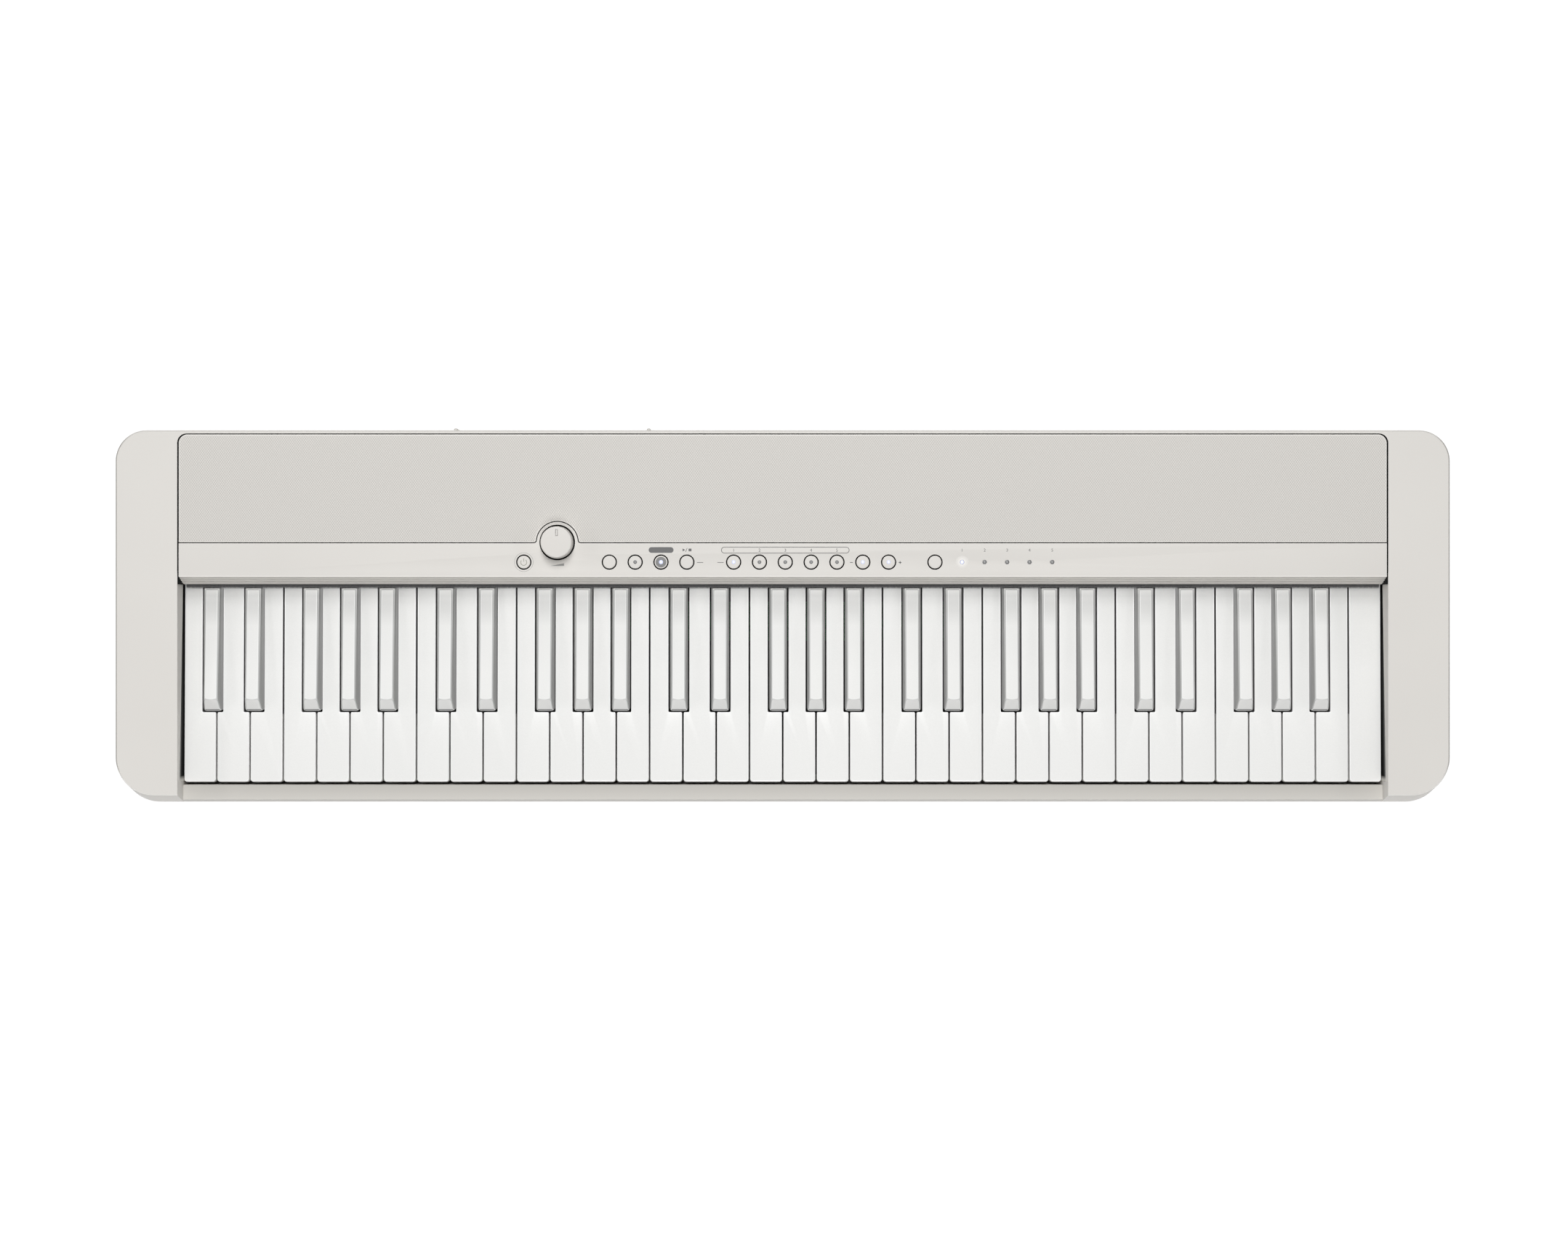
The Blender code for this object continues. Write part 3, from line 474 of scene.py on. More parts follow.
# ================================================================ geometry helpers
class Shape:
    """Collects closed skins, each with its material, and makes one piece of them."""

    def __init__(self):
        self.verts, self.faces, self.slots, self.surfaces = [], [], [], []

    def _slot(self, surface):
        if surface not in self.surfaces:
            self.surfaces.append(surface)
        return self.surfaces.index(surface)

    def loft(self, loops, surface, top=None, bottom=None, closed=False, edges=None):
        slot = self._slot(surface)
        edge_from, edge_slot = (edges[0], self._slot(edges[1])) if edges else (len(loops), slot)
        base, count = len(self.verts), len(loops[0])
        for loop in loops:
            self.verts.extend(loop)
        rows = len(loops)
        for r in range(rows if closed else rows - 1):
            a, b = base + r * count, base + ((r + 1) % rows) * count
            for i in range(count):
                j = (i + 1) % count
                self.faces.append((a + i, a + j, b + j, b + i))
                self.slots.append(edge_slot if r >= edge_from else slot)
        if not closed:
            self.faces.append(tuple(base + i for i in reversed(range(count))))
            self.slots.append(self._slot(bottom) if bottom else slot)
            last = base + (rows - 1) * count
            self.faces.append(tuple(last + i for i in range(count)))
            self.slots.append(self._slot(top) if top else slot)

    def prism(self, loop, z0, z1, surface, **caps):
        self.loft([at_z(loop, z0), at_z(loop, z1)], surface, **caps)

    def box(self, x0, x1, y0, y1, z0, z1, surface, r=0.25):
        """A box with softened upright and top edges."""
        loop = rounded(x0, x1, y0, y1, r * 1.5, r * 1.5, 3)
        self.loft(
            [at_z(loop, z0), at_z(loop, z1 - r), at_z(offset(loop, r * 0.3), z1 - r * 0.3), at_z(offset(loop, r), z1)],
            surface,
        )

    def make(self, name, angle=35.0, smooth=True):
        mesh = bpy.data.meshes.new(name)
        mesh.from_pydata([((x * MM), (y + SHIFT_Y) * MM, z * MM) for x, y, z in self.verts], [], self.faces)
        for surface in self.surfaces:
            mesh.materials.append(surface)
        mesh.polygons.foreach_set("material_index", self.slots)
        bm = bmesh.new()
        bm.from_mesh(mesh)
        bmesh.ops.recalc_face_normals(bm, faces=bm.faces)
        bm.to_mesh(mesh)
        bm.free()
        if smooth:
            mesh.shade_smooth()
            mesh.set_sharp_from_angle(angle=math.radians(angle))
        mesh.update()
        obj = bpy.data.objects.new(name, mesh)
        bpy.context.scene.collection.objects.link(obj)
        return obj


def at_z(loop, z):
    return [(x, y, z) for x, y in loop]


def circle(x, y, radius, segments=48, radius_y=None):
    radius_y = radius if radius_y is None else radius_y
    return [
        (x + radius * math.cos(2 * math.pi * i / segments), y + radius_y * math.sin(2 * math.pi * i / segments))
        for i in range(segments)
    ]


def rounded(x0, x1, y0, y1, front, rear, segments=16):
    corners = (
        (x0 + front, y0 + front, front, 180),
        (x1 - front, y0 + front, front, 270),
        (x1 - rear, y1 - rear, rear, 0),
        (x0 + rear, y1 - rear, rear, 90),
    )
    return [
        (cx + r * math.cos(math.radians(a + 90 * i / segments)), cy + r * math.sin(math.radians(a + 90 * i / segments)))
        for cx, cy, r, a in corners
        for i in range(segments + 1)
    ]


def offset(loop, distance):
    """The loop moved inwards, for a loop that runs anticlockwise."""
    out = []
    count = len(loop)
    for i in range(count):
        a, b, c = Vector(loop[i - 1]), Vector(loop[i]), Vector(loop[(i + 1) % count])
        e, f = (b - a).normalized(), (c - b).normalized()
        n, m = Vector((-e.y, e.x)), Vector((-f.y, f.x))
        out.append(tuple(b + (n + m) * (distance / max(0.3, 1 + n.dot(m)))))
    return out


def filleted(points, radii, segments=6):
    """A polygon with each corner rounded to its own radius."""
    out = []
    count = len(points)
    for i, radius in enumerate(radii):
        a, c, b = Vector(points[i - 1]), Vector(points[i]), Vector(points[(i + 1) % count])
        if radius <= 0:
            out.append(tuple(c))
            continue
        u, v = (a - c).normalized(), (b - c).normalized()
        half = math.acos(max(-1.0, min(1.0, u.dot(v)))) / 2
        reach = radius / math.tan(half)
        start, end = c + u * reach, c + v * reach
        centre = c + (u + v).normalized() * (radius / math.sin(half))
        a0 = math.atan2(start.y - centre.y, start.x - centre.x)
        turn = math.atan2(end.y - centre.y, end.x - centre.x) - a0
        turn = (turn + math.pi) % (2 * math.pi) - math.pi
        for k in range(segments + 1):
            angle = a0 + turn * k / segments
            out.append((centre.x + radius * math.cos(angle), centre.y + radius * math.sin(angle)))
    return out


def turned(shape, x, y, profile, surface, segments=48, **caps):
    shape.loft([at_z(circle(x, y, r, segments), z) for r, z in profile], surface, **caps)


def ring_z(shape, x, y, inner, outer, z0, z1, surface, segments=48, round_by=0.0):
    if round_by:
        steps = [(inner, z0), (outer, z0), (outer, z1 - round_by), (outer - round_by, z1), (inner + round_by, z1), (inner, z1 - round_by)]
    else:
        steps = [(inner, z0), (outer, z0), (outer, z1), (inner, z1)]
    shape.loft([at_z(circle(x, y, r, segments), z) for r, z in steps], surface, closed=True)


def ribbon(shape, path, width, z0, z1, surface):
    """A strip that follows an open plan path, its width laid off to the left of the way it runs."""
    loops = []
    for i, (x, y) in enumerate(path):
        here = Vector((x, y))
        ahead = Vector(path[min(i + 1, len(path) - 1)]) - Vector(path[max(i - 1, 0)])
        side = Vector((-ahead.y, ahead.x)).normalized() * width
        far = here + side
        loops.append([(x, y, z0), (x, y, z1), (far.x, far.y, z1), (far.x, far.y, z0)])
    shape.loft(loops, surface)


def turned_y(shape, x, z, profile, surface, segments=32, closed=False):
    """Turned about a line along Y; the profile is (radius, y)."""
    loops = []
    for radius, y in profile:
        loops.append([(px, y, pz) for px, pz in circle(x, z, radius, segments)])
    shape.loft(loops, surface, closed=closed)


def along_x(shape, profile, stations, surface):
    """A closed (y, z) outline drawn through the X stations."""
    shape.loft([[(x, y, z) for y, z in profile] for x in stations], surface)


def apply_all(obj):
    graph = bpy.context.evaluated_depsgraph_get()
    made = bpy.data.meshes.new_from_object(obj.evaluated_get(graph), preserve_all_data_layers=True, depsgraph=graph)
    made.name = obj.name
    obj.modifiers.clear()
    obj.data = made
    return obj


def carve(obj, cutters):
    """Takes the cutters out of the object, or joins them to it, and leaves a plain mesh."""
    for i, (shape, operation) in enumerate(cutters):
        helper = shape.make(f"cutter_{i}", smooth=False)
        step = obj.modifiers.new("step", "BOOLEAN")
        step.operation = operation
        step.solver = "EXACT"
        step.object = helper
        bpy.context.view_layer.update()
        apply_all(obj)
        bpy.data.objects.remove(helper)
    return obj


def soften(obj, width, segments=3, angle=40.0, edge=None):
    step = obj.modifiers.new("soften", "BEVEL")
    step.width = width * MM
    if edge:
        obj.data.materials.append(edge)
        step.material = len(obj.data.materials) - 1
    step.segments = segments
    step.limit_method = "ANGLE"
    step.angle_limit = math.radians(angle)
    step.use_clamp_overlap = True
    step.harden_normals = False
    apply_all(obj)
    obj.data.shade_smooth()
    obj.data.set_sharp_from_angle(angle=math.radians(38))
    return obj


def flatten(obj):
    """Large plane faces keep their true normal, so that the rounding beside them does not streak across them."""
    step = obj.modifiers.new("weigh", "WEIGHTED_NORMAL")
    step.mode = "FACE_AREA"
    step.weight = 90
    step.keep_sharp = True
    apply_all(obj)


def settle(obj, body, slot, *nodes):
    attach(obj, body)
    if nodes:
        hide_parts(*nodes)
    return obj


# ================================================================ case
def outline(inset, front_extra=0.0):
    return rounded(
        -WIDTH / 2 + inset,
        WIDTH / 2 - inset,
        -DEPTH / 2 + inset + front_extra,
        DEPTH / 2 - inset,
        FRONT_RADIUS - inset,
        REAR_RADIUS - inset,
    )


body = Shape()
rings = [at_z(outline(0.35), SPLIT_Z), at_z(outline(0.0), SPLIT_Z + 0.5), at_z(outline(0.0), 40.0)]
for k in range(6):
    a = math.radians(90 * k / 5)
    rings.append(at_z(outline(1.4 * (1 - math.cos(a)), 5.2 - 0.6 * (1 - math.cos(a))), TOP_Z - 1.4 + 1.4 * math.sin(a)))
body.loft(rings, CASE)
upper = body.make("case_top", smooth=False)

bay, recess, hollow, rail = Shape(), Shape(), Shape(), Shape()
bay.loft(
    [
        [
            (x, y, z)
            for y, z in [
                (-140.0, 22.9),
                (-128.3, 41.5),
                (SLIP_REAR_Y, 41.0),
                (SLIP_REAR_Y, 15.0),
                (34.0, 15.0),
                (34.0, 70.0),
                (-140.0, 70.0),
            ]
        ]
        for x in (-BAY_HALF, BAY_HALF)
    ],
    CASE,
)
recess.prism(rounded(-PLATE_HALF - 1.05, PLATE_HALF + 1.05, 30.0, 127.75, 2.0, 6.5, 8), DECK_Z, 70.0, CASE)
hollow.prism(
    rounded(-WIDTH / 2 + WALL, WIDTH / 2 - WALL, 27.0, DEPTH / 2 - WALL, 1.0, REAR_RADIUS - WALL, 8), 15.0, DECK_Z - 2.5, CASE
)
steps = [(bay, "DIFFERENCE"), (recess, "DIFFERENCE"), (hollow, "DIFFERENCE")]
for sign in (-1, 1):
    end = Shape()
    inner, outer, radius = BAY_HALF + 2.5, WIDTH / 2 - WALL, FRONT_RADIUS - WALL

    def end_loop(y0, z):
        corner = [
            (
                outer - radius + radius * math.cos(math.radians(-90 + 15 * i)),
                y0 + radius + radius * math.sin(math.radians(-90 + 15 * i)),
            )
            for i in range(7)
        ]
        return [(sign * x, y, z) for x, y in [(inner, y0), *corner, (outer, 40.0), (inner, 40.0)]]

    end.loft([end_loop(-126.9, 15.0), end_loop(-126.9, 40.0), end_loop(-121.2, TOP_Z - 2.6)], CASE)
    steps.append((end, "DIFFERENCE"))
rail.prism([(-430.0, -126.6), (430.0, -126.6), (430.0, SLIP_REAR_Y - 2.4), (-430.0, SLIP_REAR_Y - 2.4)], 15.0, 38.3, CASE)
steps.append((rail, "DIFFERENCE"))
deck, pot = Shape(), Shape()
deck.prism([(-190.0, 25.0), (204.0, 25.0), (204.0, 49.8), (-190.0, 49.8)], 54.0, 61.0, CASE)
for sign in (-1, 1):
    deck.prism(circle(sign * 330.0, 93.0, 52.0, 40, 24.0), 54.0, 61.0, CASE)
pot.prism([(KNOB_X - 10.5, 44.0), (KNOB_X + 10.5, 44.0), (KNOB_X + 10.5, 61.0), (KNOB_X - 10.5, 61.0)], 53.5, 60.5, CASE)
steps += [(deck, "DIFFERENCE"), (pot, "DIFFERENCE")]
mouths = Shape()
for name, radius in (("phones_jack", 4.6), ("pedal_jack", 6.4), ("dc_inlet", 5.0)):
    turned_y(mouths, JACKS[name], JACK_Z, [(radius, 124.0), (radius, 140.0)], CASE, 40)
usb_x = JACKS["usb_port"]
usb = [(x, z) for x, z in filleted([(usb_x - 6.6, JACK_Z - 6.5), (usb_x + 6.6, JACK_Z - 6.5), (usb_x + 6.6, JACK_Z + 4.1), (usb_x - 6.6, JACK_Z + 4.1)], [1.2] * 4)]
mouths.loft([[(x, 124.0, z) for x, z in usb], [(x, 140.0, z) for x, z in usb]], CASE)
steps.append((mouths, "DIFFERENCE"))
carve(upper, steps)
# the bevels carry the painted edge highlight
soften(upper, 0.45, 3, edge=CASE_EDGE_HIGHLIGHT)
flatten(upper)
# painted shade: the slip's top faces take the darker slip colour
upper.data.materials.append(SLIP)
for face in upper.data.polygons:
    middle = face.center / MM
    if abs(middle.x) < BAY_HALF + 0.05 and middle.y - SHIFT_Y < SLIP_REAR_Y + 0.1 and middle.z > 40.0 and face.normal.z > 0.9:
        face.material_index = len(upper.data.materials) - 1
settle(upper, "case", "case_plastic", "upper_case")

# painted shade: black strips beside the outer keys stand for the shade in the gaps by the case walls; they rise towards
# the front and taper off before the slip
shade_strips = Shape()
crest = [(22.6, 41.4), (5.0, 42.6), (-12.0, 43.8), (-30.0, 45.4), (-55.0, 47.7), (-80.0, 50.2), (-100.0, 52.0), (-108.0, 52.7), (-112.0, 52.8), (-115.2, 52.8)]
for sign in (-1, 1):
    loops = []
    for y, z in crest:
        near, far = sign * (BAY_HALF - 0.42), sign * (BAY_HALF + 0.05)
        loops.append([(near, y, 24.0), (near, y, z - 0.3), (near + sign * 0.15, y, z), (far, y, z), (far, y, 24.0)])
    shade_strips.loft(loops, SHADE_STRIP)
settle(shade_strips.make("key_bay_shade_strips"), "case", "chassis_plastic")

ribs = Shape()
for x in RIB_X:
    plan = filleted([(x - 1.5, 128.9), (x + 1.5, 128.9), (x + 1.2, 131.6), (x - 1.2, 131.6)], [0.3, 0.3, 0.9, 0.9], 5)
    ribs.loft([at_z(offset(plan, 0.5), 25.8), at_z(plan, 26.6), at_z(plan, 56.2), at_z(offset(plan, 0.3), 56.9), at_z(offset(plan, 0.7), 57.2)], CASE)
settle(ribs.make("rear_ribs"), "case", "case_plastic")

# lower case
tray = Shape()
rings = []
for inset, z in ((6.4, BASE_Z), (5.6, 3.8), (3.6, 4.7), (2.2, 6.0), (1.2, 8.3), (0.75, 11.5), (0.7, 21.2), (1.0, SPLIT_Z - 0.3)):
    rings.append(at_z(outline(inset), z))
tray.loft(rings, CASE)
lower = tray.make("case_bottom", smooth=False)
inside = Shape()
inside.loft([at_z(outline(8.4), 6.0), at_z(outline(3.5), 12.5), at_z(outline(3.5), 30.0)], CASE)
holder, holes = Shape(), Shape()
x0, x1, y0, y1 = BATTERY
holder.prism([(x0 - 2.4, y0 - 2.4), (x1 + 2.4, y0 - 2.4), (x1 + 2.4, y1 + 2.4), (x0 - 2.4, y1 + 2.4)], 4.6, 22.6, CASE)
for x in (-405.0, -270.0, -135.0, 0.0, 135.0, 270.0, 405.0):
    for y in (-106.0, 66.0):
        holder.prism(circle(x, y, 4.5, 16), 5.0, 8.7, CASE)
for x in (-228.0, -92.0):
    holder.prism(circle(x, 89.0, 3.5, 16), 5.0, 25.7, CASE)
holes.prism([(x0, y0), (x1, y0), (x1, y1), (x0, y1)], 0.0, 20.4, CASE)
SCREWS = [(x, y) for x in (-430.0, -300.0, -150.0, 0.0, 240.0, 430.0) for y in (-112.0, 112.0)] + [(-210.0, 20.0), (210.0, 20.0)]
pits = Shape()
for sx in (-1, 1):
    for sy in (-1, 1):
        holes.prism(circle(sx * FOOT_X, sy * FOOT_Y, 9.5, 48), 0.0, 4.6, CASE)
for x, y in SCREWS:
    pits.prism(circle(x, y, 3.6, 24), 0.0, 5.2, CASE)
carve(lower, [(inside, "DIFFERENCE"), (holder, "UNION"), (holes, "DIFFERENCE"), (pits, "DIFFERENCE")])
soften(lower, 0.35, 2, 50.0)
flatten(lower)
settle(lower, "case", "case_plastic", "lower_case")

screws = Shape()
for x, y in SCREWS:
    turned(screws, x, y, [(2.9, 5.15), (2.9, 4.5), (2.5, 4.15), (1.3, 4.1), (0.9, 4.7), (0.2, 4.9)], SCREW, 20)
settle(screws.make("base_screws"), "case", "case_plastic")

cover = Shape()
loop = rounded(x0 + 0.5, x1 - 0.5, y0 + 0.5, y1 - 0.5, 2.0, 2.0, 6)
cover.loft([at_z(offset(loop, 0.4), 3.8), at_z(loop, 4.2), at_z(loop, 5.8)], CASE)
lid = cover.make("battery_lid", smooth=False)
grip = Shape()
for i in range(6):
    y = 108.0 + 1.6 * i
    grip.prism([(78.0, y), (102.0, y), (102.0, y + 0.8), (78.0, y + 0.8)], 2.0, 4.2, CASE)
carve(lid, [(grip, "DIFFERENCE")])
soften(lid, 0.15, 2, 50.0)
flatten(lid)
settle(lid, "battery_cover", "case_plastic", "battery_cover")

feet = {"foot_front_left": (-1, -1), "foot_front_right": (1, -1), "foot_rear_left": (-1, 1), "foot_rear_right": (1, 1)}
for name, (sx, sy) in feet.items():
    foot = Shape()
    turned(
        foot,
        sx * FOOT_X,
        sy * FOOT_Y,
        [(6.0, 0.25), (6.3, 0.0), (7.9, 0.0), (8.6, 0.25), (8.95, 0.8), (9.0, 1.5), (9.0, 4.3)],
        RUBBER,
    )
    settle(foot.make(f"pad_{name}"), "case", "rubber", name)

# ================================================================ grille
def bay_edge(edge_y, bay_radius, blend):
    """The rear edge of the panel, from right to left, with the round bay behind the knob."""
    rise = edge_y - KNOB_Y
    reach = math.sqrt((bay_radius + blend) ** 2 - (rise + blend) ** 2)
    points = []
    down = math.atan2(-(rise + blend), -reach)  # from the right blend's centre to the bay's centre
    start = -math.pi / 2
    turn = (down - start + math.pi) % (2 * math.pi) - math.pi
    for i in range(9):
        a = start + turn * i / 8
        points.append((KNOB_X + reach + blend * math.cos(a), edge_y + blend + blend * math.sin(a)))
    a0 = math.atan2(rise + blend, reach)
    for i in range(1, 48):
        a = a0 + (math.pi - 2 * a0) * i / 48
        points.append((KNOB_X + bay_radius * math.cos(a), KNOB_Y + bay_radius * math.sin(a)))
    left = [(2 * KNOB_X - x, y) for x, y in points[:9]]
    return points + left[::-1]


front_edge = bay_edge(GRILLE_FRONT_Y, 14.9, 1.4)[::-1]
grille_loop = (
    [(-PLATE_HALF, GRILLE_FRONT_Y)]
    + front_edge
    + [(PLATE_HALF, GRILLE_FRONT_Y)]
    + [(PLATE_HALF - 6 + 6 * math.cos(math.radians(9 * i)), GRILLE_REAR_Y - 6 + 6 * math.sin(math.radians(9 * i))) for i in range(11)]
    + [(-PLATE_HALF + 6 - 6 * math.sin(math.radians(9 * i)), GRILLE_REAR_Y - 6 + 6 * math.cos(math.radians(9 * i))) for i in range(11)]
)
grille = Shape()
top = PLATE_Z1
grille.loft(
    [at_z(grille_loop, PLATE_Z0), at_z(grille_loop, top - 0.45), at_z(offset(grille_loop, 0.13), top - 0.13), at_z(offset(grille_loop, 0.45), top), at_z(offset(grille_loop, 0.8), top)],
    RIM,
)
inner_loop = offset(grille_loop, 0.8)
grille.loft([at_z(inner_loop, top - 0.4), at_z(inner_loop, top - 0.02), at_z(offset(inner_loop, 0.25), top + 0.06), at_z(offset(inner_loop, 0.5), top + 0.08)], CLOTH)
grille_piece = grille.make("cloth_grille")
settle(grille_piece, "case", "speaker_cloth", "speaker_grille")

# painted shade: black strips laid in the seam gaps round the panel, the grille and beside the lip, so that the gaps
# read dark
seam_shade = Shape()
case_edge = rounded(-PLATE_HALF - 0.95, PLATE_HALF + 0.95, 24.0, 127.68, 0.5, 6.4, 10)
around = [(PLATE_HALF + 0.95, 30.2)] + [p for p in case_edge if p[1] > 60.0] + [(-PLATE_HALF - 0.95, 30.2)]
ribbon(seam_shade, around, 0.8, DECK_Z + 0.05, PLATE_Z1 - 0.4, BLACK)
for sign in (-1, 1):
    side = [(sign * (PLATE_HALF + 0.15), 29.9), (sign * (BAY_HALF + 0.05), 29.9), (sign * (BAY_HALF + 0.05), 22.7), (sign * (PLATE_HALF + 0.15), 22.7)]
    seam_shade.loft([at_z(side, 41.5), at_z(side, PLATE_Z1 - 0.75)], BLACK)
joint_line = [(-PLATE_HALF - 0.2, GRILLE_FRONT_Y - 0.02)] + [(x, y - 0.02) for x, y in front_edge] + [(PLATE_HALF + 0.2, GRILLE_FRONT_Y - 0.02)]
ribbon(seam_shade, joint_line[::-1], 0.56, DECK_Z + 0.05, PLATE_Z1 - 0.32, BLACK)
settle(seam_shade.make("seam_shade_strips"), "case", "chassis_plastic")

# ================================================================ control panel
panel = Shape()
plate_loop = (
    [(-PLATE_HALF, 28.6), (PLATE_HALF, 28.6), (PLATE_HALF, PANEL_REAR_Y)] + bay_edge(PANEL_REAR_Y, 14.3, 2.0) + [(-PLATE_HALF, PANEL_REAR_Y)]
)
panel.prism(plate_loop, PLATE_Z0, PLATE_Z1, PANEL)
plate = panel.make("panel_plate", smooth=False)
drills, well, shaft_hole = Shape(), Shape(), Shape()
for x in BUTTONS.values():
    drills.prism(circle(x, BUTTON_Y, HOLE_R, 64), 55.0, 65.0, PANEL)
for x in LIGHTS_X:
    drills.prism(circle(x, BUTTON_Y, 1.55, 32), 55.0, 65.0, PANEL)
shaft_hole.prism(circle(KNOB_X, KNOB_Y, 4.0, 32), 50.0, 62.0, PANEL)
well.prism(circle(KNOB_X, KNOB_Y, 12.4, 96), 60.3, 70.0, PANEL)
carve(plate, [(drills, "DIFFERENCE"), (shaft_hole, "DIFFERENCE"), (well, "DIFFERENCE")])

work = bmesh.new()
work.from_mesh(plate.data)
weights = work.edges.layers.float.get("bevel_weight_edge") or work.edges.layers.float.new("bevel_weight_edge")
for edge in work.edges:
    if all(abs(v.co.z / MM - PLATE_Z1) < 0.01 for v in edge.verts) and len(edge.link_faces) == 2:
        if edge.calc_face_angle(0.0) > math.radians(40) and not all(v.co.y / MM - SHIFT_Y < 28.7 for v in edge.verts):
            edge[weights] = 1.0
work.to_mesh(plate.data)
work.free()
step = plate.modifiers.new("soften", "BEVEL")
step.width = 0.45 * MM
step.segments = 3
step.limit_method = "WEIGHT"
# the plate's bevels carry the painted edge highlight
plate.data.materials.append(PANEL_EDGE_HIGHLIGHT)
step.material = len(plate.data.materials) - 1
apply_all(plate)
plate.data.shade_smooth()
plate.data.set_sharp_from_angle(angle=math.radians(38))
settle(plate, "case", "panel_plastic", "control_panel")

front = Shape()
profile = [(28.6, PLATE_Z1), (28.25, PLATE_Z1 - 0.02), (27.95, PLATE_Z1 - 0.12), (27.7, PLATE_Z1 - 0.3), (27.52, PLATE_Z1 - 0.6), (27.46, PLATE_Z1 - 1.0)]
LEDGES = ((27.46, 26.28, 57.6), (26.24, 25.05, 53.6), (25.0, 23.83, 49.6), (23.79, 23.0, 45.8))
for back_y, front_y, z in LEDGES:
    profile += [
        (back_y, z - 0.42),
        (back_y - 0.15, z - 0.42),
        (back_y - 0.17, z - 0.06),
        (back_y - 0.24, z),
        (front_y + 0.2, z - 0.02),
        (front_y + 0.06, z - 0.1),
        (front_y, z - 0.3),
    ]
profile += [(22.98, 43.2), (23.1, 42.85), (25.3, 42.85), (25.45, 43.1), (28.6, 58.0)]
stations = [-PLATE_HALF, -PLATE_HALF + 0.5, PLATE_HALF - 0.5, PLATE_HALF]
front.loft([[(x, y + (0.3 if i in (0, 3) else 0.0), z) for y, z in profile] for i, x in enumerate(stations)], LIP)
settle(front.make("panel_front_lip", 28.0), "case", "panel_plastic")

# painted shade: black rings laid in the gaps round the knob and round each button, so that the gaps read dark
gap_shade_rings = Shape()
ring_z(gap_shade_rings, KNOB_X, KNOB_Y, 4.2, 12.3, 60.32, 60.5, BLACK, 64)
ring_z(gap_shade_rings, KNOB_X, KNOB_Y, 12.15, 12.38, 60.32, 61.3, BLACK, 96)
for x in BUTTONS.values():
    ring_z(gap_shade_rings, x, BUTTON_Y, HOLE_R - 0.1, HOLE_R + 0.02, 59.35, 61.15, BLACK, 64)
settle(gap_shade_rings.make("knob_and_button_gap_shade"), "case", "chassis_plastic")

# felt strip: fibres stand a little proud, and it swells where each sharp presses past it
def natural_edges(index):
    note = index % 7
    left = -18 * PITCH + index * PITCH
    right = left + PITCH
    head_left = max(left + KEY_GAP / 2, -OUTER_KEY_EDGE)
    head_right = min(right - KEY_GAP / 2, OUTER_KEY_EDGE)
    before = SHARP_OFFSET.get((note - 1) % 7) if index else None
    after = SHARP_OFFSET.get(note) if index < 35 else None
    shank_left = head_left if before is None else left + before + SLOT_HALF
    shank_right = head_right if after is None else right + after - SLOT_HALF
    return head_left, head_right, shank_left, shank_right


def sharp_centre(index):
    return -18 * PITCH + (index + 1) * PITCH + SHARP_OFFSET[index % 7]


SHARP_XS = [sharp_centre(i) for i in range(35) if i % 7 in SHARP_OFFSET]


def swell(x):
    return max(math.exp(-(((x - s) / 6.0) ** 4)) for s in SHARP_XS)


felt = Shape()
loops = []
count = 840
for i in range(count + 1):
    x = -419.2 + 838.4 * i / count
    bulge = swell(x)
    jitter = 0.12 * math.sin(i * 12.9898) * math.cos(i * 4.1414)
    loops.append(
        [
            (x, y, z)
            for y, z in [
                (26.2, 42.35),
                (23.2 + 0.1 * jitter, 42.5),
                (21.9 + jitter * 0.4, 42.55 + 0.10 * bulge),
                (20.9 - 0.12 * bulge + jitter, 41.9 + 0.25 * bulge),
                (20.62 - 0.12 * bulge + jitter, 40.9),
                (20.75 + jitter, 39.4),
                (21.6, 39.0),
                (26.2, 39.0),
            ]
        ]
    )
felt.loft(loops, FELT)
settle(felt.make("felt_band", 60.0), "case", "felt", "felt_strip")


# ================================================================ printed marks on the panel
def capsule(x0, x1, y0, y1, segments=10):
    r = (y1 - y0) / 2
    return rounded(x0, x1, y0, y1, r - 0.001, r - 0.001, segments)


def px_x(px):
    return (px - 1078.5) / 1.9744 + 0.9


def px_y(py):
    return (854.0 - py) / 1.9744 - 2.9


marks = Shape()
z0, z1 = PLATE_Z1 - 0.05, PLATE_Z1 + 0.02


def flat(shape, loop, surface, low=z0, high=z1):
    shape.prism(loop, low, high, surface)


def band(shape, outer, width, surface, low=z0, high=z1):
    inner = offset(outer, width)
    shape.loft([at_z(inner, low), at_z(outer, low), at_z(outer, high), at_z(inner, high)], surface, closed=True)


def bar(shape, x0, y0, x1, y1, width, surface, low=z0, high=z1):
    a, b = Vector((x0, y0)), Vector((x1, y1))
    n = (b - a).normalized()
    n = Vector((-n.y, n.x)) * (width / 2)
    flat(shape, [tuple(a - n), tuple(b - n), tuple(b + n), tuple(a + n)], surface, low, high)


